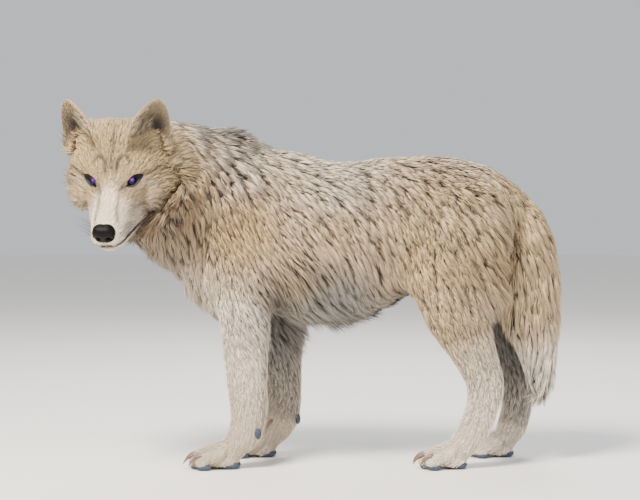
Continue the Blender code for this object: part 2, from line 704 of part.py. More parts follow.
def main():
    clear_scene()
    parts = new_collection("arctic_wolf")
    helpers = new_collection("cutters")
    frame = head_frame()

    bm = bmesh.new()
    add_trunk(bm)
    add_neck(bm)
    for name, side in SIDES.items():
        add_foreleg(bm, side, FORE_BACK[name])
        add_hindleg(bm, side, HIND_BACK[name], PAW_BACK[name])
    body = fuse(to_object(bm, "body", helpers), BODY_VOXEL, 14)

    bm = bmesh.new()
    bm.from_mesh(body.data)
    add_head(bm, frame)
    for name, at, size in paw_places():
        add_paw(bm, at, size)
    flesh = fuse(to_object(bm, "flesh", helpers), FUSE_VOXEL, 5, eye_sockets(frame, helpers))
    bpy.data.objects.remove(body)
    thin(flesh, FLESH_TRIANGLES)

    room = grown(flesh, helpers)
    for name, side in SIDES.items():
        ear = add_ear("ear_" + name, -side, frame, parts)
        coloured(cut_by(ear, [room]), "cream_coat")

    bm = bmesh.new()
    add_tail(bm)
    tail = thin(fuse(to_object(bm, "tail", parts), FUSE_VOXEL, 3), TAIL_TRIANGLES)
    coloured(cut_by(tail, [room]), "cream_coat")
    for claw in add_claws(parts):
        coloured(cut_by(claw, [room]), "claw_horn")

    set_in = [coloured(add_nose(frame, parts), "nose_leather")]
    for name, side in SIDES.items():
        set_in.append(coloured(add_eye("eye_" + name, -side, frame, parts), "eye_wet"))
    floor = floor_cut(helpers)
    cutters, spots = part_cutters(frame, helpers)
    pockets = [grown(piece, helpers) for piece in set_in]
    cut_by(flesh, [floor] + pockets + cutters, tidy=True)

    pieces = part_into(flesh, spots, parts)
    whole_head = next(p for p in pieces if p.name == "head")
    pieces.remove(whole_head)
    whole_head.name = "whole_head"
    cut_by(whole_head, [jaw_cut(frame, helpers)])
    jaw_spots = {"head": frame @ Vector((-0.05, 0, -0.02)), "lower_jaw": frame @ Vector((0.06, 0, -0.095))}
    pieces += part_into(whole_head, jaw_spots, parts)
    for piece in pieces:
        shade = "pale_coat" if "paw" in piece.name or "lower" in piece.name else "cream_coat"
        coloured(piece, "tan_coat" if piece.name == "neck" else shade)
    for used in (flesh, whole_head):
        bpy.data.objects.remove(used)
    stand_centred(parts)


if __name__ == "__main__":
    main()
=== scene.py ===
import math
import random
import time

import bmesh
import bpy
import numpy as np
from mathutils import Matrix, Vector, noise
from mathutils.bvhtree import BVHTree


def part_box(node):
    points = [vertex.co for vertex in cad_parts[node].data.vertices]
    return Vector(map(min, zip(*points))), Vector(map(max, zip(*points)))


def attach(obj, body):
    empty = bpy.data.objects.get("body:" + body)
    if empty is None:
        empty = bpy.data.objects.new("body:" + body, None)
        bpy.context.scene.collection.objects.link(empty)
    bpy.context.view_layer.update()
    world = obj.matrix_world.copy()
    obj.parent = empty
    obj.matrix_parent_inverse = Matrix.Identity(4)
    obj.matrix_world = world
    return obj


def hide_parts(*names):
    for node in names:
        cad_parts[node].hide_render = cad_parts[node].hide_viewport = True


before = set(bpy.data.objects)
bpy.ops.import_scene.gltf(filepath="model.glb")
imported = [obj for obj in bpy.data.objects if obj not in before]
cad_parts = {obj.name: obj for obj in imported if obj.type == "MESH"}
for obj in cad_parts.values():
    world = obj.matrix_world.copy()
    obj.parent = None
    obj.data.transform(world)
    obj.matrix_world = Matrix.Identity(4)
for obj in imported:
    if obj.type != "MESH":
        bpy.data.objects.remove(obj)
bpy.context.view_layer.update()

started = time.time()


def say(what):
    print(f"[{time.time() - started:5.1f} s] {what}", flush=True)


def toLinear(hexColour):
    out = []
    for i in (1, 3, 5):
        c = int(hexColour[i:i + 2], 16) / 255
        out.append(c / 12.92 if c <= 0.04045 else ((c + 0.055) / 1.055) ** 2.4)
    return (*out, 1.0)


def setInputs(tree, node, inputs):   # each input takes a value or a link
    for key, value in inputs.items():
        if isinstance(value, bpy.types.NodeSocket):
            tree.links.new(value, node.inputs[key])
        else:
            node.inputs[key].default_value = value
    return node


def addNode(tree, kind, inputs={}, **settings):
    node = tree.nodes.new(kind)
    for key, value in settings.items():
        setattr(node, key, value)
    return setInputs(tree, node, inputs)


def calc(tree, operation, *values):
    return addNode(tree, "ShaderNodeMath", dict(enumerate(values)), operation=operation).outputs[0]


def dimmed(tree, colour, much):
    return addNode(tree, "ShaderNodeVectorMath", {0: colour, "Scale": much}, operation="SCALE").outputs[0]


def blended(tree, factor, one, two, kind="MIX"):
    return addNode(tree, "ShaderNodeMix", {"Factor": factor, 6: one, 7: two}, data_type="RGBA",
                   blend_type=kind).outputs[2]


def attributeOf(tree, name, output="Fac"):
    return addNode(tree, "ShaderNodeAttribute", attribute_name=name).outputs[output]


def ownPlace(tree):
    return addNode(tree, "ShaderNodeTexCoord").outputs["Object"]


def colourRamp(tree, factor, stops):
    node = addNode(tree, "ShaderNodeValToRGB", {"Fac": factor})
    elements = node.color_ramp.elements
    while len(elements) < len(stops):
        elements.new(0.5)
    for element, (at, colour) in zip(elements, stops):
        element.position, element.color = at, colour
    return node.outputs[0]


def newTree(name, sockets):          # a Geometry Nodes tree, the identifiers of its inputs, and their sockets
    tree = bpy.data.node_groups.new(name, "GeometryNodeTree")
    keys = {key: tree.interface.new_socket(key, in_out="INPUT", socket_type="NodeSocket" + kind).identifier
            for key, kind in sockets.items()}
    tree.interface.new_socket("Geometry", in_out="OUTPUT", socket_type="NodeSocketGeometry")
    return tree, keys, addNode(tree, "NodeGroupInput").outputs


def newMaterial(name, **fixed):
    made = bpy.data.materials.new(name)
    made.use_nodes = True
    tree = made.node_tree
    return made, tree, setInputs(tree, tree.nodes["Principled BSDF"], fixed)


def boxMiddle(node):
    low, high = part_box(node)
    return (low + high) / 2


def inBox(node, share):
    low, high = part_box(node)
    return Vector(low[i] + (high[i] - low[i]) * share[i] for i in range(3))


def newObject(name, shape, recalculate=True):      # from a bmesh, or from a pair of points and faces
    mesh = bpy.data.meshes.new(name)
    if isinstance(shape, tuple):
        mesh.from_pydata(shape[0], [], shape[1])
    else:
        if recalculate:
            bmesh.ops.recalc_face_normals(shape, faces=shape.faces)
        shape.to_mesh(mesh)
        shape.free()
    made = bpy.data.objects.new(name, mesh)
    bpy.context.scene.collection.objects.link(made)
    return made


def bakeModifiers(obj):
    bpy.context.view_layer.update()
    graph = bpy.context.evaluated_depsgraph_get()
    mesh = bpy.data.meshes.new_from_object(obj.evaluated_get(graph), preserve_all_data_layers=True,
                                           depsgraph=graph)
    obj.modifiers.clear()
    old, obj.data = obj.data, mesh
    mesh.name = obj.name
    bpy.data.meshes.remove(old)
    return obj


def grown(obj, tree, keys, values):
    modifier = obj.modifiers.new(tree.name, "NODES")
    modifier.node_group = tree
    for key, value in values.items():
        modifier[keys[key]] = value
    return bakeModifiers(obj)


def remeshed(obj, voxel, rounds):
    melt = obj.modifiers.new("melt", "REMESH")
    melt.mode, melt.voxel_size = "VOXEL", voxel
    soften = obj.modifiers.new("soften", "SMOOTH")
    soften.factor, soften.iterations = 0.5, rounds
    return bakeModifiers(obj)


def thinned(obj, ratio):
    obj.modifiers.new("thin", "DECIMATE").ratio = ratio
    return bakeModifiers(obj)


def addBall(bm, place, half, segments=(24, 16)):   # an ellipsoid, turned and set by a matrix
    bmesh.ops.create_uvsphere(bm, u_segments=segments[0], v_segments=segments[1], radius=1,
                              matrix=place @ Matrix.Diagonal((*half, 1)))


attributeKinds = {"FLOAT": ("value", 1), "FLOAT_VECTOR": ("vector", 3), "FLOAT_COLOR": ("color", 4)}


def readArray(items, key, width, kind=np.float32):
    values = np.empty(len(items) * width, kind)
    items.foreach_get(key, values)
    return values.reshape(-1, width)


def readPoints(mesh):
    return readArray(mesh.vertices, "co", 3).astype(float)


def writePoints(mesh, points):
    mesh.vertices.foreach_set("co", points.astype(np.float32).ravel())
    mesh.update()


def readNormals(mesh):
    return readArray(mesh.vertex_normals, "vector", 3).astype(float)


def storeOn(mesh, name, kind, values):
    made = mesh.attributes.new(name, kind, "POINT")
    made.data.foreach_set(attributeKinds[kind][0], np.asarray(values, np.float32).ravel())


class Spreader:                      # averages a value over neighbouring vertices
    def __init__(self, mesh):
        self.a, self.b = readArray(mesh.edges, "vertices", 2, np.int32).T
        self.count = len(mesh.vertices)
        self.degree = np.maximum(np.bincount(np.concatenate([self.a, self.b]), minlength=self.count), 1)

    def spread(self, values, rounds, share=0.5):
        flat = values.reshape(self.count, -1).astype(float)
        for _ in range(rounds):
            total = np.stack([np.bincount(self.a, column[self.b], self.count)
                              + np.bincount(self.b, column[self.a], self.count) for column in flat.T], axis=1)
            flat = flat * (1 - share) + share * total / self.degree[:, None]
        return flat.reshape(values.shape)


def unit(vectors):
    return vectors / np.maximum(np.linalg.norm(vectors, axis=-1, keepdims=True), 1e-9)


def bump(points, centre, reach):     # 1 at the centre, falling away over reach, which may differ by axis
    return np.exp(-(((points - np.array(centre)) / np.array(reach)) ** 2).sum(axis=-1))


def step(value, low, high):          # smooth 0 to 1 as value runs from low to high
    t = np.clip((value - low) / (high - low), 0, 1)
    return t * t * (3 - 2 * t)


def ridge(distance, width):          # 1 on a line, falling away over width
    return np.exp(-(distance / width) ** 2)


def mixed(values, other, share):     # share of the way from values to other, point by point
    return values * (1 - share[:, None]) + other * share[:, None]


horn = ("claw", "dewclaw")
sides = ((1, "left"), (-1, "right"))        # by the sign of Y in head space
wolf = {
    "midPlane": (boxMiddle("fore_paw_left").y + boxMiddle("fore_paw_right").y) / 2,
    "furNodes": [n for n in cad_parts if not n.startswith((*horn, "eye", "nose"))],
    "hornNodes": [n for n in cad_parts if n.startswith(horn)],
}

view = {
    "aim": (0.0122, wolf["midPlane"], 0.5325),
    "distance": 4.0,
    "lens": 90,
    "rise": 2,                       # degrees above level
}

studio = {
    "reach": 14,
    "floor": "#f4f2ee",
    "sky": "#e6e9ed",
    "skyStrength": 0.85,
    # name: (watts, size, direction from the wolf, colour)
    "lights": {
        "key": (460, 1.3, (-1.5, -2.2, 3.1), "#fff4e6"),
        "fill": (55, 3.0, (2.6, -2.4, 1.2), "#f2f5ff"),
        "rim": (90, 2.0, (0.6, 2.6, 2.6), "#ffffff"),
    },
}


def placed(name, data, at, way):     # a lamp or camera at a place, looking along a direction
    made = bpy.data.objects.new(name, data)
    made.location = at
    made.rotation_euler = way.to_track_quat("-Z", "Y").to_euler()
    bpy.context.scene.collection.objects.link(made)
    return made


def makeStage():
    bm = bmesh.new()
    bmesh.ops.create_circle(bm, cap_ends=True, segments=96, radius=studio["reach"])
    floor = newObject("studio_floor", bm)
    paper = newMaterial("floor paper", **{"Roughness": 0.9, "Base Color": toLinear(studio["floor"])})[0]
    floor.data.materials.append(paper)             # matt seamless paper

    world = bpy.data.worlds.new("studio")
    world.use_nodes = True
    back = world.node_tree.nodes["Background"]
    back.inputs["Color"].default_value = toLinear(studio["sky"])
    back.inputs["Strength"].default_value = studio["skyStrength"]
    bpy.context.scene.world = world

    aim = Vector(view["aim"])
    for name, (watts, size, way, colour) in studio["lights"].items():
        lamp = bpy.data.lights.new(name, "AREA")
        lamp.energy, lamp.size, lamp.color = watts, size, toLinear(colour)[:3]
        placed(name, lamp, aim + Vector(way), -Vector(way))

    rise = math.radians(view["rise"])
    away = Vector((0, -math.cos(rise), math.sin(rise))) * view["distance"]
    camera = placed("camera", bpy.data.cameras.new("camera"), aim + away, -away)
    camera.data.lens = view["lens"]
    camera.data.sensor_width = 36
    bpy.context.scene.camera = camera


makeStage()
say("stage")


def headSpace():
    eyes = (boxMiddle("eye_left") + boxMiddle("eye_right")) / 2
    across = (boxMiddle("eye_left") - boxMiddle("eye_right")).normalized()
    toNose = boxMiddle("nose") - eyes
    toNose -= across * toNose.dot(across)
    drop, along = 0.0355, 0.131                    # from the eyes to the nose, in head space
    ahead = (Matrix.Rotation(-math.atan2(drop, along), 3, across) @ toNose).normalized()
    up = ahead.cross(across)
    scale = toNose.length / math.hypot(along, drop)
    basis = Matrix((ahead, across, up)).transposed().to_4x4()
    place = Matrix.Translation(eyes) @ basis @ Matrix.Scale(scale, 4)
    return place @ Matrix.Translation((-0.003, 0, 0.003)), scale


toBody, headScale = headSpace()
toHead = toBody.inverted()
headArray, bodyArray = np.array(toHead), np.array(toBody)


def intoHead(points):
    return points @ headArray[:3, :3].T + headArray[:3, 3]


def outOfHead(points):
    return points @ bodyArray[:3, :3].T + bodyArray[:3, 3]


def turnedFromHead(ways):
    return ways @ (bodyArray[:3, :3] / headScale).T


def mirrorHead(spot, side):
    return Vector((spot[0], spot[1] * side, spot[2]))


def folded(points):                  # the same points on the wolf's left side
    return np.stack([points[:, 0], np.abs(points[:, 1]), points[:, 2]], axis=1)


skin = {
    "grow": 0.0008,                  # lets the parted flesh meet again
    "voxel": 0.0066,
    "fineVoxel": 0.0019,
    "thin": 0.46,                    # share of the head's triangles that is kept
    "pawVoxel": 0.0021,
    "pawThin": 0.36,
    "bodyThin": 0.80,
    "pawGive": 0.010,
    "neckInto": -0.045,              # how far forward the neck runs into the head, in head space
    # depth of the coat over the skin, in metres
    "depth": {
        "neck": 0.026, "trunk": 0.019, "head": 0.030, "tail": 0.019,
        "thigh": 0.015, "shank": 0.0075, "upper_foreleg": 0.013,
        "lower_foreleg": 0.0055, "fore_paw": 0.0030, "hind_paw": 0.0030,
    },
}

# sections of the head without its coat: place, top, widest level, bottom, half width, squareness above, below
skull = (
    (-0.150, 0.030, -0.040, -0.080, 0.058, 2.3, 2.0),
    (-0.118, 0.058, -0.050, -0.112, 0.090, 2.3, 2.2),
    (-0.086, 0.061, -0.056, -0.122, 0.100, 2.4, 2.2),
    (-0.056, 0.053, -0.056, -0.122, 0.101, 2.1, 2.2),
    (-0.030, 0.041, -0.056, -0.118, 0.092, 2.15, 2.1),
    (-0.006, 0.027, -0.068, -0.114, 0.0765, 2.35, 2.2),
    (0.016, 0.0095, -0.084, -0.113, 0.0630, 2.4, 2.6),
    (0.040, -0.003, -0.089, -0.1100, 0.0550, 2.2, 2.8),
    (0.068, -0.011, -0.087, -0.1060, 0.0465, 2.1, 2.8),
    (0.096, -0.0175, -0.081, -0.1010, 0.0390, 2.2, 2.7),
    (0.120, -0.0245, -0.072, -0.0950, 0.0320, 2.3, 2.4),
    (0.136, -0.0350, -0.056, -0.0840, 0.0200, 2.2, 2.2),
)

ear = {
    "root": (-0.082, 0.066, 0.012),
    "tip": (-0.106, 0.1035, 0.128),
    "halfWidth": 0.0395,
    # half width by share of the height, on the outer and on the inner side
    "outer": ((0, 0.047), (0.33, 0.0395), (0.60, 0.032), (0.80, 0.0235), (0.93, 0.0150), (1, 0.003)),
    "inner": ((0, 0.062), (0.38, 0.060), (0.56, 0.0555), (0.77, 0.043), (0.88, 0.0280), (0.95, 0.0150),
              (1, 0.003)),
    "facing": (0.88, 0.42, 0.10),
    "foot": (0.022, 0.031, 0.030),   # half size of the mass that it grows from
    "curl": (62, 38),                # degrees that it curls to each side, at root and tip
    "thick": 0.0042,
    "rows": 26,
    "columns": 21,
}


def smoothRows(rows, steps):         # Catmull-Rom between rows of numbers
    full = [rows[0], *rows, rows[-1]]
    out = []
    for i in range(1, len(full) - 2):
        a, b, c, d = (np.array(r, float) for r in full[i - 1:i + 3])
        for k in range(steps):
            t = k / steps
            out.append(0.5 * (2 * b + (c - a) * t + (2 * a - 5 * b + 4 * c - d) * t * t
                              + (3 * b - a - 3 * c + d) * t ** 3))
    out.append(np.array(rows[-1], float))
    return out


def circle(count):                   # cosine and sine of evenly spaced angles
    return [(math.cos(2 * math.pi * k / count), math.sin(2 * math.pi * k / count)) for k in range(count)]


def powered(value, power):
    return math.copysign(abs(value) ** power, value)


def joinRows(bm, rows, closed=True):
    for one, two in zip(rows, rows[1:]):
        for k in range(len(one) - (not closed)):
            n = (k + 1) % len(one)
            bm.faces.new((one[k], one[n], two[n], two[k]))


def skinRings(bm, rings):
    joinRows(bm, rings)
    bm.faces.new(rings[0][::-1])
    bm.faces.new(rings[-1])


def addSkull(bm):
    rings = []
    for x, top, level, bottom, half, above, below in smoothRows(skull, 5):
        ring = []
        for c, s in circle(48):
            power = 2 / (above if c > 0 else below)
            high = (top - level) if c > 0 else (level - bottom)
            spot = (x, half * powered(s, power), level + high * powered(c, power))
            ring.append(bm.verts.new(toBody @ Vector(spot)))
        rings.append(ring)
    skinRings(bm, rings)


middleMasses = {
    # middle and half size in head space, turn in degrees
    "forehead": ((-0.030, 0, 0.0115), (0.045, 0.034, 0.025), (0, 22, 0)),
    "throat": ((-0.066, 0.030, -0.128), (0.046, 0.078, 0.040), (0, 30, 0)),
    "chin": ((0.104, 0, -0.0880), (0.028, 0.0250, 0.0120), (0, 0, 0)),
}

sideMasses = {                       # the same on the left, for both sides
    "crown": ((-0.106, 0.0400, 0.0380), (0.040, 0.0320, 0.0260), (0, 0, 0)),
    "jowl": ((-0.030, 0.0720, -0.0630), (0.045, 0.0340, 0.0360), (0, 0, 0)),
    "brow": ((-0.018, 0.0345, 0.0135), (0.035, 0.0160, 0.0100), (0, 20, -30)),
    "cheekbone": ((0.000, 0.0445, -0.0300), (0.045, 0.0125, 0.0125), (0, 10, -26)),
    "whisker pad": ((0.104, 0.0155, -0.0580), (0.030, 0.0185, 0.0205), (0, 4, -4)),
}


def addMass(bm, centre, half, turn, side=1):
    spin = Matrix.Identity(4)
    for axis, degrees in zip("XYZ", (turn[0], turn[1], turn[2] * side)):
        spin = Matrix.Rotation(math.radians(degrees), 4, axis) @ spin
    addBall(bm, toBody @ Matrix.Translation(mirrorHead(centre, side)) @ spin, half, (32, 20))


def earAxes(side):
    root, facing = mirrorHead(ear["root"], side), mirrorHead(ear["facing"], side)
    up = mirrorHead(ear["tip"], side) - root
    length = up.length
    up.normalize()
    facing = (facing - up * facing.dot(up)).normalized()
    return root, up, facing, up.cross(facing), length


def earSheet(side):                  # rows of points of the ear's middle surface, in head space
    root, up, facing, across, length = earAxes(side)
    rows = []
    for i in range(ear["rows"]):
        v = i / (ear["rows"] - 1) * 0.995
        curl = math.radians(ear["curl"][0] + (ear["curl"][1] - ear["curl"][0]) * v)
        line = []
        for k in range(ear["columns"]):
            angle = (2 * k / (ear["columns"] - 1) - 1) * curl
            radius = np.interp(v, *zip(*ear["inner" if angle * side < 0 else "outer"])) / math.sin(curl)
            line.append(root + up * length * v - facing * 0.006
                        + across * radius * math.sin(angle) + facing * radius * (1 - math.cos(angle)))
        rows.append(line)
    return rows


def addEar(bm, side):
    sheet = bmesh.new()
    joinRows(sheet, [[sheet.verts.new(toBody @ p) for p in line] for line in earSheet(side)], closed=False)
    made = newObject("ear sheet", sheet)
    wall = made.modifiers.new("wall", "SOLIDIFY")
    wall.thickness, wall.offset = ear["thick"], 0
    bakeModifiers(made)
    bm.from_mesh(made.data)
    bpy.data.objects.remove(made)


eye = {
    "radius": 0.0128,
    "inner": (0.0250, 0.0283, -0.0063),            # corners of the lids, in head space, left side
    "outer": (-0.0122, 0.0636, -0.0017),
    "facing": (0.62, 0.60, 0.50),
    "sunk": 0.0102,                                # the ball's middle below the opening
    "iris": (0.47, 0.32, 0.82),                    # where the left eye looks, in head space
    "irisRight": (0.53, -0.08, 0.845),
    "lidHigh": (0.0108, 0.0094),                   # height of the dark rim above and below the middle
    "gapHigh": (0.0078, 0.0062),                   # and of the gap between the lids
    "gapLong": (0.0160, 0.0128),                   # half its length to the inner and to the outer corner
}


def eyeSpace():                      # middle of the opening, way to the inner corner, up, out, half length
    inner, outer = Vector(eye["inner"]), Vector(eye["outer"])
    long = (inner - outer).normalized()
    out = Vector(eye["facing"])
    out = (out - long * out.dot(long)).normalized()
    return (inner + outer) / 2, long, long.cross(out), out, (inner - outer).length / 2


def insideLids(q, wide=1.0):         # 0 at the middle of the eye, 1 at the outline of its dark rim
    middle, long, up, out, half = (np.array(v) for v in eyeSpace())
    rel = q - middle
    s, t, h = rel @ long / (half * wide), rel @ up, rel @ out
    high = np.where(t > 0, eye["lidHigh"][0], eye["lidHigh"][1]) * wide
    across = np.abs(t) / (high * np.maximum(1 - s ** 2, 1e-4) ** 0.7)
    return np.where((np.abs(s) < 0.99) & (np.abs(h) < 0.030), np.maximum(across, np.abs(s)), 9.0)


lips = {
    # line of the closed mouth in head space, from the front of the muzzle to its corner: along, height
    "line": ((0.150, -0.0735), (0.128, -0.0735), (0.118, -0.0740), (0.105, -0.0765), (0.090, -0.0800),
             (0.060, -0.0865), (0.032, -0.0930), (0.018, -0.0985)),
    "thick": 0.0026,
}


def lipHeight(x):
    xs, zs = zip(*lips["line"][::-1])
    return np.interp(x, xs, zs)


def nearLips(q):                     # distance from the line of the mouth, measured up and down
    d = np.abs(q[:, 2] - lipHeight(q[:, 0]))
    return d + np.maximum(0, lips["line"][-1][0] - q[:, 0])


carving = (
    # how far out in metres, middle and reach in head space, left side
    (0.0012, (-0.022, 0.016, 0.040), (0.020, 0.008, 0.030)),     # folds that run up from the inner brows
    (-0.0050, (0.012, 0.036, -0.004), (0.013, 0.012, 0.010)),    # hollow of the eye
    (-0.0030, (0.030, 0.028, -0.012), (0.014, 0.010, 0.012)),
    (-0.0022, (0.060, 0.034, -0.034), (0.028, 0.010, 0.012)),    # hollow beside the bridge of the muzzle
    (0.0024, (0.108, 0.026, -0.062), (0.018, 0.012, 0.012)),     # whisker pad
)


def sculptFace(mesh):
    points, normals = readPoints(mesh), readNormals(mesh)
    p = intoHead(points)
    q = folded(p)
    onTop = step(unit(normals @ bodyArray[:3, :3])[:, 2], -0.1, 0.5)
    furrow = ridge(p[:, 1], 0.0032) * step(p[:, 0], -0.085, -0.05) * (1 - step(p[:, 0], 0.010, 0.035))
    push = -0.0020 * furrow * onTop                # down the middle of the forehead
    for out, middle, reach in carving:
        push += out * bump(q, middle, reach)
    groove = ridge(p[:, 1], 0.0022) * step(p[:, 0], 0.112, 0.128) * (1 - step(p[:, 2], -0.058, -0.050))
    push -= 0.0030 * groove                        # below the nose
    gap = q[:, 2] - lipHeight(q[:, 0])
    along = step(q[:, 0], 0.004, 0.030)
    push -= 0.0022 * ridge(gap, 0.0020) * along                     # the closed lips
    push += 0.0016 * ridge(gap - 0.0070, 0.0040) * along
    points += normals * (push * headScale)[:, None]
    q = intoHead(points)
    side = np.where(q[:, 1] < 0, -1.0, 1.0)
    q = folded(q)
    middle, _, _, out, _ = eyeSpace()
    ball = np.array(middle - out * eye["sunk"])
    rel = q - ball
    far = np.linalg.norm(rel, axis=1, keepdims=True)
    behind = ball + rel / far * np.minimum(far, eye["radius"] - 0.0016)
    q = mixed(q, behind, 1 - step(insideLids(q), 0.66, 0.90))       # the skin passes behind the eyeball
    q[:, 1] *= side
    writePoints(mesh, outOfHead(q))


def makeHeadSkin():
    bm = bmesh.new()
    addSkull(bm)
    for mass in middleMasses.values():
        addMass(bm, *mass)
    for side in (1, -1):
        for mass in sideMasses.values():
            addMass(bm, *mass, side)
        root, up, facing, across, _ = earAxes(side)
        basis = Matrix((facing, across, up)).transposed().to_4x4()
        foot = Matrix.Translation(root + up * 0.008 - facing * 0.013) @ basis
        addBall(bm, toBody @ foot, ear["foot"], (32, 20))
        addEar(bm, side)
    head = remeshed(newObject("head skin", bm), skin["fineVoxel"], 4)
    sculptFace(head.data)
    return thinned(head, skin["thin"])


def copyOfNodes(name, nodes):
    bm = bmesh.new()
    for n in nodes:
        bm.from_mesh(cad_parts[n].data)
    bmesh.ops.remove_doubles(bm, verts=bm.verts, dist=1e-6)
    return newObject(name, bm, recalculate=False)


def kindOf(node):
    return node.replace("_left", "").replace("_right", "")


def makeBodySkin():
    names = [n for n in wolf["furNodes"] if not n.startswith(("ear", "lower_jaw", "head"))]
    body = copyOfNodes("body skin", names)
    back = copyOfNodes("back of the head", ["head"])       # the face is left to the head's own skin
    bm = bmesh.new()
    bm.from_mesh(back.data)
    bmesh.ops.bisect_plane(bm, geom=bm.verts[:] + bm.edges[:] + bm.faces[:], clear_outer=True,
                           plane_co=toBody @ Vector((skin["neckInto"], 0, 0)),
                           plane_no=toBody.to_3x3() @ Vector((1, 0, 0)))
    bmesh.ops.holes_fill(bm, edges=[e for e in bm.edges if e.is_boundary])
    bm.from_mesh(body.data)
    bm.to_mesh(body.data)
    bm.free()
    bpy.data.objects.remove(back)
    grow = body.modifiers.new("grow", "DISPLACE")
    grow.strength, grow.mid_level = skin["grow"], 0
    remeshed(body, skin["voxel"], 6)

    mesh = body.data
    points = readPoints(mesh)
    owner = np.array(nearestNodes(points))
    depth = np.array([skin["depth"].get(kindOf(n), 0.01) for n in owner])
    for name in paws:                              # so that the toes stand out from the body's own skin
        at, size = pawPlace(name)
        mine = (owner == name) & (points[:, 2] < 0.075)
        depth[mine] += skin["pawGive"] * step(at[0] + 0.010 * size - points[mine, 0], 0, 0.03)
    spreader = Spreader(mesh)
    points -= unit(spreader.spread(readNormals(mesh), 3)) * spreader.spread(depth, 30)[:, None]
    writePoints(mesh, points)
    return thinned(remeshed(body, skin["voxel"], 5), skin["bodyThin"])


# across, and how far forward
toes = ((-0.035, 0.040), (-0.0125, 0.056), (0.0125, 0.056), (0.035, 0.040))
paws = {"fore_paw_left": 1.0, "fore_paw_right": 1.0, "hind_paw_left": 0.95, "hind_paw_right": 0.95}


def pawPlace(name):                  # middle of the big pad on the floor, found from the two middle claws
    size = paws[name]
    limb, _, side = name.split("_")
    two, three = (f"claw_{limb}_{side}_{n}" for n in (2, 3))
    return Vector((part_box(two)[0].x + 0.0991 * size, (boxMiddle(two).y + boxMiddle(three).y) / 2, 0)), size


def pawMasses():                     # forward, across and up from the paw's place, half size, lean in degrees
    yield (-0.004, 0, 0.020), (0.034, 0.036, 0.020), 0
    yield (0.010, 0, 0.042), (0.044, 0.036, 0.021), -27
    for across, reach in toes:
        high = 0.0190 if abs(across) < 0.02 else 0.0175
        yield (reach - 0.020, across * 0.95, 0.0350), (0.0270, 0.0118, high), -16
        yield (reach - 0.001, across * 1.03, 0.0290), (0.0165, 0.0116, 0.0160), 24        # knuckle
        yield (reach + 0.011, across * 1.07, 0.0185), (0.0170, 0.0112, 0.0130), 8


def onEachPaw(masses, voxel, rounds, segments):    # one bmesh of all paws, each melted from its masses
    whole = bmesh.new()
    for name in paws:
        at, size = pawPlace(name)
        bm = bmesh.new()
        for (forward, across, up), half, lean in masses():
            place = Matrix.Translation(at + Vector((-forward, across, up)) * size)
            place = place @ Matrix.Rotation(math.radians(lean), 4, "Y")
            addBall(bm, place, [h * size for h in half], segments)
        one = remeshed(newObject("paw", bm), voxel, rounds)
        whole.from_mesh(one.data)
        bpy.data.objects.remove(one)
    return whole


def keptAbove(obj, floor):
    points = readPoints(obj.data)
    points[:, 2] = np.maximum(points[:, 2], floor)
    writePoints(obj.data, points)
    return obj


def makePawSkin():
    whole = onEachPaw(pawMasses, skin["pawVoxel"], 3, (28, 18))
    return keptAbove(thinned(newObject("paw skin", whole), skin["pawThin"]), 0.0035)


def fleshTree():
    vertices, faces, owners = [], [], []
    for name in wolf["furNodes"]:
        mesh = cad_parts[name].data
        start = len(vertices)
        vertices += [v.co.copy() for v in mesh.vertices]
        faces += [[start + i for i in p.vertices] for p in mesh.polygons]
        owners += [name] * len(mesh.polygons)
    return BVHTree.FromPolygons(vertices, faces), owners


flesh, fleshOwners = fleshTree()


def nearestNodes(points):
    return [fleshOwners[flesh.find_nearest(Vector(p))[2]] for p in points]


headSkin = makeHeadSkin()
say(f"head skin, {len(headSkin.data.polygons)} faces")
bodySkin = makeBodySkin()
say(f"body skin, {len(bodySkin.data.polygons)} faces")

pawSkin = makePawSkin()
say(f"paw skin, {len(pawSkin.data.polygons)} faces")

for other in (headSkin, pawSkin):
    union = bodySkin.modifiers.new("union", "BOOLEAN")
    union.operation, union.solver, union.object = "UNION", "MANIFOLD", other
    bakeModifiers(bodySkin)
    bpy.data.objects.remove(other)
wolfSkin = bodySkin
wolfSkin.name = "wolf_skin"

nose = {
    "at": (0.134, 0.0, -0.0405),
    "half": (0.0172, 0.0248, 0.0228),
    "power": 2.7,                    # how square it is
}

shades = {
    "snow": "#fff0da",               # bridge of the nose, lips and toes
    "white": "#f4e9d9",              # legs, paws, muzzle and chin
    "pale": "#d9cbb8",               # chest, back and the end of the tail
    "cream": "#c6ad85",              # most of the body
    "fawn": "#b8a179",               # head
    "tan": "#b8986c",                # neck, flanks and thighs
    "umber": "#8d765a",              # behind the cheeks and on the loin; painted shade between thigh and tail
    "grey": "#94897b",               # belly and throat; also painted shade on the backs of the forelegs, at the corners of the mouth and, in part, on the sides of the muzzle
    "ash": "#85827f",                # under the belly, in part painted shade under the body, and painted shade on the inner sides of the legs
    "inner": "#94836b",              # long hair inside the ears
    "smoke": "#1d1814",              # painted shade in the hollow of the ears
    "dark": "#4b3f37",               # painted shade in the folds of the face, behind the elbows, along the belly and between the toes; also the dark of the lips, tear lines and whisker roots
}

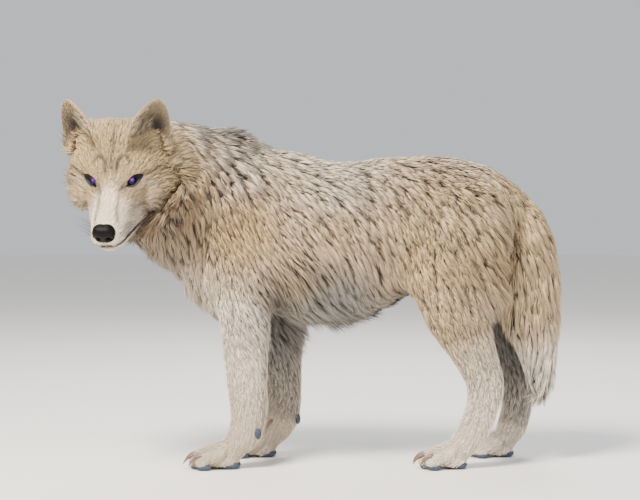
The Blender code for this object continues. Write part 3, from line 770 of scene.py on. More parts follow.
# by node: place in its box, way that the hair lies, length in millimetres, shade
# The left side is given, and the right side is its mirror image.
bodyGuides = {
    "neck": (
        ((0.25, 0.35, 0.98), (1, 0.2, -0.15), 62, "cream"),
        ((0.75, 0.50, 1.00), (1, 0, -0.30), 64, "pale"),
        ((0.50, 0.08, 0.80), (0.65, 0.1, -0.80), 58, "cream"),
        ((0.42, 0.05, 0.62), (0.25, 0, -1), 58, "umber"),
        ((0.45, 0.05, 0.40), (0.20, 0, -1), 58, "umber"),
        ((0.88, 0.05, 0.68), (0.45, 0, -1), 50, "tan"),
        ((0.88, 0.08, 0.28), (0.25, 0, -1), 46, "cream"),
        ((0.25, 0.25, 0.40), (0.30, 0, -1), 52, "grey"),
        ((0.40, 0.50, 0.25), (0.35, 0, -1), 54, "grey"),
        ((0.60, 0.50, 0.08), (0.35, 0, -1), 48, "pale"),
    ),
    "trunk": (
        ((0.10, 0.50, 1.00), (1, 0, -0.28), 56, "pale"),
        ((0.40, 0.50, 0.87), (1, 0, -0.12), 42, "pale"),
        ((0.80, 0.50, 0.90), (1, 0, -0.20), 38, "pale"),
        ((0.97, 0.50, 0.75), (0.6, 0, -1), 44, "cream"),
        ((0.12, 0.15, 0.80), (0.75, 0, -0.80), 48, "pale"),
        ((0.42, 0.12, 0.75), (0.85, 0, -0.70), 40, "pale"),
        ((0.75, 0.12, 0.75), (0.80, 0, -0.80), 38, "cream"),
        ((0.15, 0.00, 0.50), (0.50, 0, -1), 42, "tan"),
        ((0.42, 0.00, 0.52), (0.60, 0, -1), 40, "cream"),
        ((0.65, 0.03, 0.50), (0.50, 0, -1), 38, "cream"),
        ((0.25, 0.05, 0.25), (0.35, 0, -1), 48, "grey"),
        ((0.45, 0.05, 0.22), (0.35, 0, -1), 50, "grey"),
        ((0.62, 0.08, 0.30), (0.40, 0, -1), 46, "cream"),
        ((0.25, 0.50, 0.05), (0.60, 0, -0.80), 60, "grey"),
        ((0.42, 0.50, 0.00), (0.60, 0, -0.80), 60, "grey"),
        ((0.62, 0.50, 0.12), (0.80, 0, -0.60), 44, "grey"),
        ((0.02, 0.50, 0.35), (0.20, 0, -1), 45, "pale"),
    ),
    "upper_foreleg_left": (
        ((0.35, 0.00, 0.85), (0.45, 0, -1), 42, "tan"),
        ((0.35, 0.00, 0.45), (0.40, 0, -1), 34, "cream"),
        ((0.05, 0.30, 0.30), (0.15, 0, -1), 28, "pale"),
        ((0.90, 0.20, 0.35), (0.95, 0, -0.40), 60, "cream"),
        ((0.40, 1.00, 0.30), (0.20, 0, -1), 25, "pale"),
    ),
    "lower_foreleg_left": (
        ((0.10, 0.30, 0.95), (0.25, 0, -1), 19, "white"),
        ((0.90, 0.30, 0.92), (0.75, 0, -1), 36, "white"),
        ((0.40, 0.00, 0.50), (0.45, 0, -1), 15, "white"),
        ((0.85, 0.40, 0.50), (0.35, 0, -1), 21, "white"),
        ((0.40, 0.00, 0.05), (-0.05, 0, -1), 13, "white"),
    ),
    "fore_paw_left": (
        ((0.60, 0.40, 0.90), (-0.60, 0, -0.80), 9, "pale"),
        ((0.15, 0.50, 0.35), (-1, 0, -0.35), 7, "pale"),
        ((0.50, 0.00, 0.30), (-0.70, 0, -0.70), 9, "pale"),
        ((0.95, 0.50, 0.50), (0.10, 0, -1), 14, "pale"),
    ),
    "thigh_left": (
        ((0.50, 0.00, 0.90), (0.65, 0, -0.90), 40, "cream"),
        ((0.10, 0.10, 0.50), (0.35, 0, -1), 38, "tan"),
        ((0.50, 0.00, 0.45), (0.55, 0, -1), 38, "tan"),
        ((0.95, 0.20, 0.50), (0.45, 0, -1), 46, "tan"),
        ((0.45, 0.00, 0.10), (0.40, 0, -1), 34, "cream"),
        ((0.50, 1.00, 0.30), (0.30, 0, -1), 28, "pale"),
    ),
    "shank_left": (
        ((0.30, 0.00, 0.90), (0.45, 0, -1), 27, "cream"),
        ((0.60, 0.00, 0.58), (0.50, 0, -1), 20, "pale"),
        ((0.95, 0.40, 0.60), (0.35, 0, -1), 23, "pale"),
        ((0.80, 0.30, 0.30), (-0.05, 0, -1), 16, "white"),
        ((0.55, 0.30, 0.08), (-0.30, 0, -1), 13, "white"),
    ),
    "hind_paw_left": (
        ((0.60, 0.40, 0.90), (-0.60, 0, -0.80), 11, "white"),
        ((0.15, 0.50, 0.35), (-1, 0, -0.35), 7, "white"),
        ((0.50, 0.00, 0.30), (-0.70, 0, -0.70), 11, "white"),
        ((0.95, 0.50, 0.50), (0.10, 0, -1), 14, "white"),
    ),
    "tail": (
        ((0.15, 0.50, 0.98), (0.80, 0, -0.70), 48, "cream"),
        ((0.60, 0.50, 0.80), (0.35, 0, -1), 58, "cream"),
        ((0.45, 0.50, 0.50), (0.02, 0, -1), 66, "cream"),
        ((0.60, 0.50, 0.25), (0.12, 0, -1), 72, "white"),
        ((0.65, 0.50, 0.03), (0.10, 0, -1), 60, "white"),
    ),
}

# the same in head space, for the left side
headGuides = (
    ((0.115, 0.000, -0.020), (-1, 0, 0.10), 5, "snow"),
    ((0.060, 0.000, -0.006), (-1, 0, 0.15), 6, "snow"),
    ((0.010, 0.000, 0.020), (-1, 0, 0.50), 8, "fawn"),
    ((-0.030, 0.000, 0.045), (-1, 0, 0.45), 11, "fawn"),
    ((-0.080, 0.000, 0.065), (-1, 0, -0.10), 20, "fawn"),
    ((-0.130, 0.000, 0.050), (-1, 0, -0.50), 42, "cream"),
    ((-0.025, 0.035, 0.030), (-1, 0.35, 0.35), 11, "fawn"),
    ((-0.050, 0.070, 0.020), (-1, 0.30, 0.10), 16, "fawn"),
    ((0.020, 0.045, -0.030), (-1, 0.35, -0.15), 8, "fawn"),
    ((-0.020, 0.075, -0.045), (-1, 0.50, -0.35), 22, "fawn"),
    ((-0.060, 0.100, -0.050), (-0.80, 0.50, -0.70), 40, "fawn"),
    ((-0.090, 0.110, -0.080), (-0.70, 0.40, -0.90), 50, "fawn"),
    ((-0.030, 0.090, -0.090), (-0.75, 0.30, -0.80), 44, "fawn"),
    ((0.090, 0.033, -0.055), (-1, 0.10, -0.12), 6, "white"),
    ((0.045, 0.042, -0.060), (-1, 0.25, -0.30), 9, "pale"),
    ((0.000, 0.065, -0.095), (-0.80, 0.25, -0.70), 26, "grey"),
    ((0.060, 0.020, -0.105), (-1, 0.10, -0.30), 9, "pale"),
    ((0.120, 0.000, -0.095), (-0.80, 0, -0.60), 6, "white"),
    ((-0.030, 0.000, -0.130), (-0.60, 0, -0.80), 42, "grey"),
    ((-0.110, 0.080, 0.030), (-0.80, 0.40, -0.50), 36, "cream"),
)

comb = {
    "power": 2.0,
    "bodyReach": 0.050,              # how soft the blend between guides is
    "headReach": 0.012,
    "rounds": 24,
    "earHair": 0.009,
    "tailTip": (0.60, 0.5, -0.05),
}

# where the coat stands out from the outline: node, place in its box, reach in metres, amount
flares = (
    ("head", (0.05, 0.55, 0.40), (0.05, 0.07, 0.06), 0.55),
    ("head", (0.85, 0.60, 0.25), (0.07, 0.08, 0.08), 0.60),
    ("neck", (1.00, 0.50, 0.95), (0.04, 0.06, 0.04), 0.30),
    ("neck", (0.40, 0.50, 0.05), (0.10, 0.08, 0.08), 0.35),
    ("trunk", (0.35, 0.50, 0.00), (0.16, 0.09, 0.06), 0.80),
    ("upper_foreleg_left", (0.90, 0.30, 0.30), (0.045, 0.06, 0.05), 1.10),
    ("upper_foreleg_right", (0.90, 0.70, 0.30), (0.045, 0.05, 0.05), 0.45),
    ("thigh_left", (0.90, 0.40, 0.35), (0.05, 0.05, 0.12), 0.60),
    ("thigh_right", (0.90, 0.60, 0.35), (0.05, 0.05, 0.12), 0.60),
    ("tail", (0.90, 0.50, 0.45), (0.06, 0.06, 0.16), 0.08),
    ("trunk", (0.00, 0.50, 0.40), (0.07, 0.09, 0.10), 0.35),
)


# what each vertex of the skin carries
coatKinds = {"lie": "FLOAT_VECTOR", "outward": "FLOAT_VECTOR", "hairLength": "FLOAT", "room": "FLOAT",
             "amount": "FLOAT", "flare": "FLOAT", "coatShade": "FLOAT_COLOR"}


def blendGuides(points, rows, palette, reach):     # way, length and shade at each point, from rows of guides
    places, ways, lengths, names = zip(*rows)
    d2 = ((points[:, None, :] - np.array(places)[None]) ** 2).sum(axis=2)
    w = 1 / (d2 + reach ** 2) ** comb["power"]
    w /= w.sum(axis=1, keepdims=True)
    return (w @ unit(np.array(ways, float)), w @ (np.array(lengths) / 1000),
            w @ np.array([palette[name] for name in names]))


def bothSides():
    rows = []
    for node, guides in bodyGuides.items():
        other = node.replace("left", "right")
        for share, way, length, shade in guides:
            rows.append((inBox(node, share), Vector(way), length, shade))
            share, way = (share[0], 1 - share[1], share[2]), (way[0], -way[1], way[2])
            rows.append((inBox(other, share), Vector(way), length, shade))
    return rows


markings = (
    # place in head space, left side, reach, shade, strength
    ((0.0235, 0.0240, -0.0080), (0.012, 0.008, 0.010), "dark", 0.75),      # tear line
    ((-0.004, 0.0700, -0.0220), (0.020, 0.014, 0.010), "white", 0.45),     # below the eye
    ((0.066, 0.0000, -0.0090), (0.050, 0.014, 0.020), "snow", 0.70),      # bridge
    ((0.055, 0.0420, -0.0500), (0.030, 0.014, 0.014), "grey", 0.45),       # side of the muzzle, greyer, in part painted shade
    ((0.010, 0.0650, -0.0750), (0.018, 0.016, 0.014), "grey", 0.55),       # painted shade behind the corner of the mouth
    ((0.120, 0.0000, -0.0900), (0.040, 0.040, 0.012), "white", 0.80),      # chin
    ((-0.060, 0.1000, -0.0550), (0.034, 0.030, 0.034), "umber", 0.35),      # cheek
)


foldShadeLines = {
    # painted shade along the folds, furrows and grooves of the face, and the dark edge of the lower lip: line
    # over the face in head space, left side, half width, strength
    "fold over the brow": (((0.004, 0.0120, 0.021), (-0.014, 0.0135, 0.031), (-0.0235, 0.0190, 0.036),
                            (-0.0262, 0.0277, 0.0349), (-0.017, 0.0359, 0.026)), 0.0042, 1.00),
    "middle of the forehead": (((-0.085, 0, 0.059), (-0.040, 0, 0.047), (-0.003, 0, 0.025)), 0.0040, 1.00),
    "edge of the bridge": (((0.023, 0.0273, -0.0056), (0.0393, 0.0200, -0.0065), (0.081, 0.0205, -0.0196),
                            (0.110, 0.0245, -0.032)), 0.0040, 0.75),
    "below the eye": (((0.022, 0.0360, -0.020), (0.006, 0.0560, -0.028), (-0.014, 0.0720, -0.025)),
                      0.0044, 0.80),
    "behind the eye": (((-0.012, 0.0640, -0.001), (-0.030, 0.0800, -0.004), (-0.050, 0.0920, -0.014)),
                       0.0044, 0.80),
    "cheek": (((0.045, 0.0420, -0.045), (0.015, 0.0600, -0.058), (-0.012, 0.0800, -0.062)), 0.0050, 0.75),
    "under the nose": (((0.150, 0, -0.058), (0.146, 0, -0.076)), 0.0034, 0.85),
    "lower lip": (((0.140, 0.0100, -0.0860), (0.112, 0.0250, -0.0930), (0.070, 0.0360, -0.1010)),
                  0.0040, 0.50),
}


whiskers = {
    # along the muzzle, height, how many, length in metres
    "rows": ((0.084, 0.120, -0.052, 5, 0.040), (0.080, 0.120, -0.058, 6, 0.055),
             (0.078, 0.116, -0.064, 6, 0.060), (0.082, 0.110, -0.070, 5, 0.050)),
    "brow": ((0.004, 0.034, 0.030), (-0.002, 0.038, 0.031), (0.010, 0.032, 0.030)),
    "thick": 0.00042,
    "bend": 0.22,
    "seed": 12,
}


def nearLine(q, line):               # distance of each point from a line of points
    best = np.full(len(q), 9.0)
    for a, b in zip(np.array(line[:-1]), np.array(line[1:])):
        t = np.clip((q - a) @ (b - a) / ((b - a) @ (b - a)), 0, 1)
        best = np.minimum(best, np.linalg.norm(q - a - t[:, None] * (b - a), axis=1))
    return best


def nearWhiskers(q):                 # distance from the nearest whisker's root, seen from the side
    best = np.full(len(q), 9.0)
    for back, front, height, count, _ in whiskers["rows"]:
        for k in range(count):
            x = q[:, 0] - back - (front - back) * k / (count - 1)
            best = np.minimum(best, np.hypot(x, q[:, 2] - height))
    return best


# the same on the body, on both sides, marks and painted shade: place in metres with 0 at the mid-plane,
# reach, shade, strength, and the kind of node it keeps to
bodyMarksAndShade = (
    ((-0.320, 0.13, 0.67), (0.055, 0.20, 0.11), "umber", 0.70, None),        # neck behind the cheek
    ((-0.265, 0.06, 0.83), (0.110, 0.12, 0.07), "grey", 0.95, None),         # top of the mane
    ((-0.110, 0.12, 0.428), (0.036, 0.20, 0.046), "dark", 0.95, None),    # painted shadow behind the elbow
    ((0.015, 0.10, 0.430), (0.150, 0.25, 0.068), "ash", 0.88, "trunk"),     # belly: a cooler grey coat, with painted shade under the body
    ((0.020, 0.00, 0.330), (0.160, 0.14, 0.040), "dark", 0.80, "trunk"),     # painted shade along its lower edge
    # painted shade on the foreleg below the elbow
    ((-0.070, 0.03, 0.380), (0.060, 0.07, 0.070), "dark", 0.75, "upper_foreleg"),
    ((0.350, 0.08, 0.48), (0.030, 0.07, 0.120), "umber", 0.55, None),        # painted shade between thigh and tail
    ((0.305, 0.14, 0.744), (0.060, 0.14, 0.080), "umber", 0.45, None),        # loin
    ((-0.210, 0.08, 0.58), (0.060, 0.14, 0.060), "tan", 0.85, None),         # shoulder
)
ticking = {                          # broken dark hairs
    "size": (0.060, 0.030),
    "along": (0.75, 0.0, -0.66),
    "squeeze": 0.72,
    "low": -0.06,
    "strength": 1.5,
    "most": {"neck": 0.20, "trunk": 0.28, "thigh": 0.22, "upper_foreleg": 0.16},
}


def tickedShade(points, kinds, colour, palette):
    along = np.array(ticking["along"])
    flat = points - ticking["squeeze"] * (points @ along)[:, None] * along
    much = np.array([sum(noise.noise(Vector(p / size)) for size in ticking["size"]) for p in flat])
    much = np.clip((much - ticking["low"]) * ticking["strength"], 0, 1)
    much *= np.array([ticking["most"].get(k, 0.0) for k in kinds])
    return mixed(colour, palette["grey"] * 0.62, much)


# painted shade on the inner sides of the legs: how dark it is on each kind of node
innerLegShade = {"upper_foreleg": 0.95, "thigh": 0.95, "shank": 0.97, "lower_foreleg": 0.80}


def shadedBody(points, normals, kinds, colour, palette):
    rel = points - np.array((0, wolf["midPlane"], 0))
    side = np.sign(rel[:, 1])
    rel = folded(rel)
    for place, reach, name, strength, kind in bodyMarksAndShade:
        much = strength * bump(rel, place, reach) * (kind is None or kinds == kind)
        colour = mixed(colour, palette[name], much)
    # painted shade on the inner sides of the legs, stronger higher up under the body
    much = sum(share * (kinds == kind) for kind, share in innerLegShade.items())
    much = much * step(-normals[:, 1] * side, 0.1, 0.7)
    colour = mixed(colour, palette["ash"] * 0.52, much * (0.55 + 0.45 * step(points[:, 2], 0.10, 0.30)))
    # painted shade on the backs of the forelegs
    onForeleg = np.isin(kinds, ("upper_foreleg", "lower_foreleg"))
    return mixed(colour, palette["grey"], 0.42 * step(normals[:, 0], 0.15, 0.85) * onForeleg)


def combHead(points, palette):       # way, length, shade and amount of the hair on the head
    q = intoHead(points)
    rows = [*headGuides]
    rows += [((p[0], -p[1], p[2]), (w[0], -w[1], w[2]), n, s) for p, w, n, s in headGuides if p[1]]
    way, hair, shade = blendGuides(q, rows, palette, comb["headReach"])
    q = folded(q)
    for place, reach, name, strength in markings:
        shade = mixed(shade, palette[name], strength * bump(q, place, reach))
    # painted shade along the folds and grooves of the face
    for line, width, strength in foldShadeLines.values():
        shade = mixed(shade, palette["dark"], strength * ridge(nearLine(q, line), width))
    shade = mixed(shade, palette["dark"], 0.80 * ridge(nearWhiskers(q), 0.0024))
    shade = mixed(shade, palette["dark"], 0.90 * (1 - step(nearLips(q), 0.0020, 0.0085)))
    lid = insideLids(q)
    hair *= 0.45 + 0.55 * step(lid, 1.0, 1.9)
    noseGap = (np.abs(q - np.array(nose["at"])) / np.array(nose["half"])).max(axis=1)
    amount = step(lid, 0.98, 1.08) * step(nearLips(q), 0.0012, 0.0030) * step(noseGap, 0.98, 1.06)
    return turnedFromHead(way), hair, shade, amount


def combEar(side, points, normals, palette):       # way and shade on the ear, then the hair inside it
    root, up, facing, across, reach = (np.array(v) for v in earAxes(side))
    rel = intoHead(points) - root
    v = rel @ up / reach
    u = rel @ across * side / ear["halfWidth"]
    inside = step(unit(normals) @ turnedFromHead(facing[None])[0], 0.0, 0.5)
    # the inner side greyer, and painted shade, near black, in the hollow
    hollow = inside * np.exp(-((u - 0.22) / 0.70) ** 2 - ((v - 0.45) / 0.34) ** 2)
    shade = mixed(mixed(palette["cream"], palette["grey"], 0.45 * inside), palette["smoke"], hollow)
    front = inside * np.maximum(step(-u, 0.15, 0.55), step(-v, -0.34, -0.10)) * step(-v, -0.80, -0.62)
    tufted = turnedFromHead(unit(up * 0.9 + across * side * 0.55 + facing * 0.10)[None])[0]
    return turnedFromHead(up[None])[0], shade, front, tufted, 0.034 - 0.014 * np.clip(v, 0, 1)


def toeGaps(name, points):           # 1 in the creases between the toes, where shade is painted
    at, size = pawPlace(name)
    ahead, aside = (at.x - points[:, 0]) / size, (points[:, 1] - at.y) / size
    gap = sum(ridge(aside - place * (1 + 5 * (ahead - 0.02)), 0.0040) for place in (-0.0225, 0, 0.0225))
    return 0.90 * gap * step(ahead, 0.016, 0.032) * step(points[:, 2], 0.006, 0.014)


def roomOver(points, normals):       # how far the coat may stand off the skin, out to the flesh solids
    room = np.zeros(len(points))
    for i, (p, n) in enumerate(zip(points, normals)):
        hit = flesh.ray_cast(Vector(p), Vector(n), 0.06)
        room[i] = hit[3] if hit[0] is not None else 0.0
    room[room > 0.05] = 0
    return room


def combCoat(mesh):                  # the coat at each vertex, that of the inner ears, and the kinds of node
    points, normals = readPoints(mesh), readNormals(mesh)
    count = len(points)
    spreader = Spreader(mesh)
    owner = np.array(nearestNodes(points))
    kinds = np.array([kindOf(n) for n in owner])
    onEar = kinds == "ear"
    onHead = np.isin(kinds, ("head", "lower_jaw")) | onEar
    palette = {name: np.array(toLinear(code)[:3]) for name, code in shades.items()}

    inner = {"amount": np.zeros(count), "hairLength": np.full(count, 0.02), "lie": np.zeros((count, 3)),
             "coatShade": np.tile(np.array([*palette["inner"], 1.0]), (count, 1))}
    lie, length, colour, amount = np.zeros((count, 3)), np.zeros(count), np.zeros((count, 3)), np.ones(count)
    body = ~onHead
    lie[body], length[body], colour[body] = blendGuides(points[body], bothSides(), palette, comb["bodyReach"])
    lie[onHead], length[onHead], colour[onHead], amount[onHead] = combHead(points[onHead], palette)
    onPaw = np.isin(kinds, ("fore_paw", "hind_paw"))
    amount[onPaw] = step(points[onPaw, 2], 0.008, 0.015)
    for side, name in sides:
        mine = owner == "ear_" + name
        (lie[mine], colour[mine], inner["amount"][mine], inner["lie"][mine],
         inner["hairLength"][mine]) = combEar(side, points[mine], normals[mine], palette)
        length[mine] = comb["earHair"]
    colour[body] = shadedBody(points[body], normals[body], kinds[body], colour[body], palette)
    colour[body] = tickedShade(points[body], kinds[body], colour[body], palette)
    for name in paws:
        mine = owner == name
        share = toeGaps(name, points[mine])
        # painted shade in the creases between the toes, which also get less hair
        colour[mine] = mixed(colour[mine], palette["dark"], share)
        amount[mine] *= 1 - step(share, 0.35, 0.70)

    mine = owner == "tail"                         # the brush runs together towards the tip
    away = np.array(inBox("tail", comb["tailTip"])) - points[mine]
    lie[mine] = mixed(unit(lie[mine]), unit(away), step(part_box("tail")[1].z - points[mine, 2], 0.14, 0.40))
    length[mine] = np.minimum(length[mine], np.linalg.norm(away, axis=1) + 0.034)

    outward = unit(spreader.spread(normals, 6))
    lie = spreader.spread(unit(lie), comb["rounds"])
    room = spreader.spread(roomOver(points, outward), 10)
    room[onEar] = 0.0022
    flare = np.zeros(count)
    for node, share, reach, much in flares:
        flare = np.maximum(flare, much * bump(points, inBox(node, share), reach))
    colour = np.where(onHead[:, None], colour, spreader.spread(colour, 2))
    coat = {
        "flare": flare, "amount": amount,
        "lie": unit(lie - outward * (lie * outward).sum(axis=1, keepdims=True)), "outward": outward,
        "hairLength": spreader.spread(length, comb["rounds"] // 2), "room": np.clip(room, 0.0012, 0.036),
        "coatShade": np.concatenate([colour, np.ones((count, 1))], axis=1),
    }
    return coat, {**coat, **inner}, kinds


wolfSkin.modifiers.new("triangles", "TRIANGULATE")
bakeModifiers(wolfSkin)
wolfSkin.data.shade_smooth()
outerCoat, innerCoat, skinKinds = combCoat(wolfSkin.data)
for name, kind in coatKinds.items():
    storeOn(wolfSkin.data, name, kind, outerCoat[name])
say(f"coat combed over one skin of {len(wolfSkin.data.polygons)} triangles")


def skinTreeOf(obj):
    mesh = obj.data
    return BVHTree.FromPolygons([v.co for v in mesh.vertices], [p.vertices for p in mesh.polygons])


skinTree = skinTreeOf(wolfSkin)


def onSkinFrom(start, way, side):     # where a ray in head space comes out of the skin, or None
    a = toBody @ mirrorHead(start, side)
    b = (toBody.to_3x3() @ mirrorHead(way, side)).normalized()
    hit = skinTree.ray_cast(a, b, 0.12)
    return mirrorHead(toHead @ hit[0], side) if hit[0] is not None else None


def addTube(bm, line, radii, sides=8, flat=1.0):     # a closed tube along a line of points
    rings, side = [], Vector((0.1, 0.2, 1))
    for i, (spot, radius) in enumerate(zip(line, radii)):
        way = (line[min(i + 1, len(line) - 1)] - line[max(i - 1, 0)]).normalized()
        side = (side - way * side.dot(way)).normalized()
        other = way.cross(side)
        rings.append([bm.verts.new(spot + side * radius * c + other * radius * flat * s)
                      for c, s in circle(sides)])
    skinRings(bm, rings)


def finishPiece(obj, material, slot, *replaced):
    obj.data.shade_smooth()
    obj.data.materials.append(material)
    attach(obj, "root")
    if replaced:
        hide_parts(*replaced)
    return obj


# colours of the iris out from the pupil, a painted glow that is brightest in the middle
irisGlowStops = ((0.0, "#ff40ff"), (0.14, "#d40cff"), (0.25, "#9802f4"), (0.38, "#5400c0"), (0.50, "#1e0436"),
             (0.62, "#0b060e"), (1.0, "#100c13"))


def eyeMaterial():
    material, tree, shader = newMaterial("wet eye")              # moist cornea over a violet iris with a painted glow
    iris = colourRamp(tree, attributeOf(tree, "fromPupil"), [(at, toLinear(code)) for at, code in irisGlowStops])
    rays = addNode(tree, "ShaderNodeTexNoise", {"Vector": ownPlace(tree), "Scale": 900.0, "Detail": 2.0})
    shaded = dimmed(tree, iris, calc(tree, "MULTIPLY_ADD", rays.outputs[0], 0.5, 0.75))
    setInputs(tree, shader, {"Roughness": 0.06, "IOR": 1.38, "Specular IOR Level": 0.3,
                             "Base Color": dimmed(tree, shaded, 0.22),
                             "Emission Color": shaded, "Emission Strength": 0.24})   # it gleams by itself
    return material


def leatherMaterial(name, code, roughness, grain, depth):        # grain in millimetres, depth in metres
    material, tree, shader = newMaterial(name)                   # bare, pebbled skin, with painted shade in the crevices between the pebbles
    place = ownPlace(tree)
    pebbles = addNode(tree, "ShaderNodeTexVoronoi", {"Vector": place, "Scale": 1000 / grain})
    pebbles = pebbles.outputs["Distance"]
    patches = addNode(tree, "ShaderNodeTexNoise", {"Vector": place, "Scale": 120.0, "Detail": 3.0})
    tone = calc(tree, "MULTIPLY_ADD", patches.outputs[0], 0.7, 0.65)
    # darker in the crevices between the pebbles: painted shade
    tone = calc(tree, "MULTIPLY_ADD", pebbles, -0.35, tone)
    relief = addNode(tree, "ShaderNodeBump", {"Height": pebbles, "Strength": 0.7, "Distance": depth},
                     invert=True)
    setInputs(tree, shader, {"Roughness": roughness, "Specular IOR Level": 0.14, "Normal": relief.outputs[0],
                             "Base Color": dimmed(tree, toLinear(code)[:3], tone)})
    return material


def makeEye(side, name):
    middle, _, _, out, _ = eyeSpace()
    ball = mirrorHead(middle - out * eye["sunk"], side)
    look = Vector(eye["iris"] if side > 0 else eye["irisRight"]).normalized()
    bm = bmesh.new()
    turn = look.to_track_quat("Z", "Y").to_matrix().to_4x4()
    bmesh.ops.create_uvsphere(bm, u_segments=48, v_segments=40, radius=eye["radius"],
                              matrix=toBody @ Matrix.Translation(ball) @ turn)
    made = newObject("eyeball_" + name, bm)
    q = intoHead(readPoints(made.data)) - np.array(ball)
    ahead = unit(q) @ np.array(look)
    storeOn(made.data, "fromPupil", "FLOAT", np.arccos(np.clip(ahead, -1, 1)) * eye["radius"] / 0.0125)
    q *= 1 + 0.05 * step(ahead, 0.80, 1.0)[:, None]              # the cornea stands out a little
    writePoints(made.data, outOfHead(q + np.array(ball)))
    return made


def lidRings(side):                  # six rings of points, from under the skin round to behind the lid's edge
    middle, long, up, out, half = eyeSpace()
    ball = middle - out * eye["sunk"]
    rings = [[] for _ in range(6)]
    for c, s in circle(56):
        lower, outer = int(s <= 0), int(c <= 0)
        rim = middle + long * half * c + up * eye["lidHigh"][lower] * powered(s, 1.4)
        skinSpot = onSkinFrom(ball, rim - ball, side) or rim
        edge = middle + long * eye["gapLong"][outer] * c + up * eye["gapHigh"][lower] * powered(s, 1.15)
        edge = ball + (edge - ball).normalized() * eye["radius"]
        lift = (edge - ball).normalized()
        outward = (skinSpot - ball).normalized()
        for ring, spot in zip(rings, (skinSpot - outward * 0.0030 + (skinSpot - edge).normalized() * 0.0015,
                                      skinSpot + outward * 0.0007, skinSpot.lerp(edge, 0.40) + out * 0.0024,
                                      skinSpot.lerp(edge, 0.80) + lift * 0.0024, edge + lift * 0.0014,
                                      edge - lift * 0.0012)):
            ring.append(toBody @ mirrorHead(spot, side))
    return rings


def makeLids(side, name):
    bm = bmesh.new()
    made = [[bm.verts.new(p) for p in ring] for ring in lidRings(side)]
    joinRows(bm, made + made[:1])
    lids = newObject("eyelids_" + name, bm)
    smooth = lids.modifiers.new("smooth", "SUBSURF")
    smooth.levels = smooth.render_levels = 1
    bakeModifiers(lids)
    middle, long, up, _, half = (np.array(v) for v in eyeSpace())
    q = intoHead(readPoints(lids.data))
    q[:, 1] *= side
    low, along = -((q - middle) @ up), (q - middle) @ long / half
    across = np.abs(low) / (eye["lidHigh"][1] * np.maximum(1 - along ** 2, 0.02) ** 0.7)
    # a band along the lower lid and a patch near the inner corner, for the painted highlight
    band = step(low, 0.0, 0.0016) * step(across, 0.50, 0.70) * (1 - step(across, 0.86, 0.97))
    corner = step(along, 0.70, 0.80) * (1 - step(along, 0.90, 0.98)) * 0.8
    storeOn(lids.data, "lowerLid", "FLOAT", np.maximum(band, corner))
    return lids


def makeNose():
    bm = bmesh.new()
    addBall(bm, Matrix.Rotation(math.pi / 2, 4, "Y"), (1, 1, 1), (96, 64))
    made = newObject("nose_leather", bm)
    d = unit(readPoints(made.data))
    d /= (np.abs(d) ** nose["power"]).sum(axis=1, keepdims=True) ** (1 / nose["power"])
    q = d * np.array(nose["half"])
    low = np.clip(-q[:, 2] / nose["half"][2], 0, 1)
    q[:, 1] *= 1 - 0.24 * low ** 1.5                              # narrower below
    q[:, 0] -= 0.0060 * low * step(q[:, 0], -0.004, 0.006)        # and it falls back
    wings = folded(q)
    front = step(q[:, 0], 0.000, 0.008)
    q[:, 0] -= front * 0.0125 * bump(wings[:, 1:], (0.0112, -0.0022), (0.0054, 0.0044))     # nostrils
    q[:, 0] -= front * 0.0060 * bump(wings[:, 1:], (0.0182, -0.0070), (0.0044, 0.0024))     # outer slits
    q[:, 1] -= np.sign(q[:, 1]) * 0.0042 * bump(wings, (0.0030, 0.0250, -0.0062), (0.0085, 0.011, 0.0027))
    q[:, 0] -= front * 0.0026 * ridge(q[:, 1], 0.0011) * step(-q[:, 2], -0.008, 0.004)      # middle groove
    q[:, 2] -= 0.0016 * ridge(q[:, 1], 0.0060) * step(q[:, 2], 0.006, 0.012)
    writePoints(made.data, outOfHead(q + np.array(nose["at"])))
    return made


def makeLips():
    bm = bmesh.new()
    for side in (1, -1):
        line = []
        for k in range(46):
            t = k / 45
            if t < 0.34:                               # round the front of the muzzle
                a = math.radians(4 + 82 * t / 0.34)
                start = Vector((0.096, 0, lipHeight(0.125)))
                spot = onSkinFrom(start, (math.cos(a), math.sin(a), 0), side)
            else:
                x = 0.096 - (0.096 - lips["line"][-1][0]) * (t - 0.34) / 0.66
                spot = onSkinFrom((x, 0, lipHeight(x)), (0, 1, 0), side)
            if spot is not None:
                line.append(toBody @ mirrorHead(spot, side))
        count = len(line)
        radii = [lips["thick"] * (0.85 + 0.4 * math.sin(math.pi * min(1, i / (count - 1) * 1.1)) ** 0.5)
                 * (1 if i < count - 1 else 0.3) for i in range(count)]
        addTube(bm, line, radii, 8)
    return newObject("lips", bm)


claw = {"thick": 0.0063, "rings": 9, "sides": 12}


def makeClaws():
    bm = bmesh.new()
    for node in wolf["hornNodes"]:
        low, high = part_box(node)
        middle = (low + high) / 2
        if node.startswith("dewclaw"):
            inward = 1 if "left" in node else -1
            start = Vector((high.x + 0.004, middle.y - 0.012 * inward, high.z + 0.004))
            bend = Vector((middle.x - 0.002, middle.y + 0.005 * inward, high.z + 0.001))
            end = Vector((low.x + 0.001, middle.y + 0.004 * inward, low.z))
            size = 0.85
        else:
            size = paws[node[5:-2].replace("fore_", "fore_paw_").replace("hind_", "hind_paw_")]
            start = Vector((low.x + 0.036 * size, middle.y, 0.0345))
            bend = Vector((low.x + 0.012 * size, middle.y, 0.0365))
            end = Vector((low.x, middle.y, low.z + 0.001))
        line, radii = [], []
        for k in range(claw["rings"]):
            t = k / (claw["rings"] - 1)
            line.append(start * (1 - t) ** 2 + bend * 2 * t * (1 - t) + end * t * t)
            radii.append(claw["thick"] * size * (1 - 0.88 * t ** 1.5))
        addTube(bm, line, radii, claw["sides"], 0.66)
    return newObject("claws", bm)


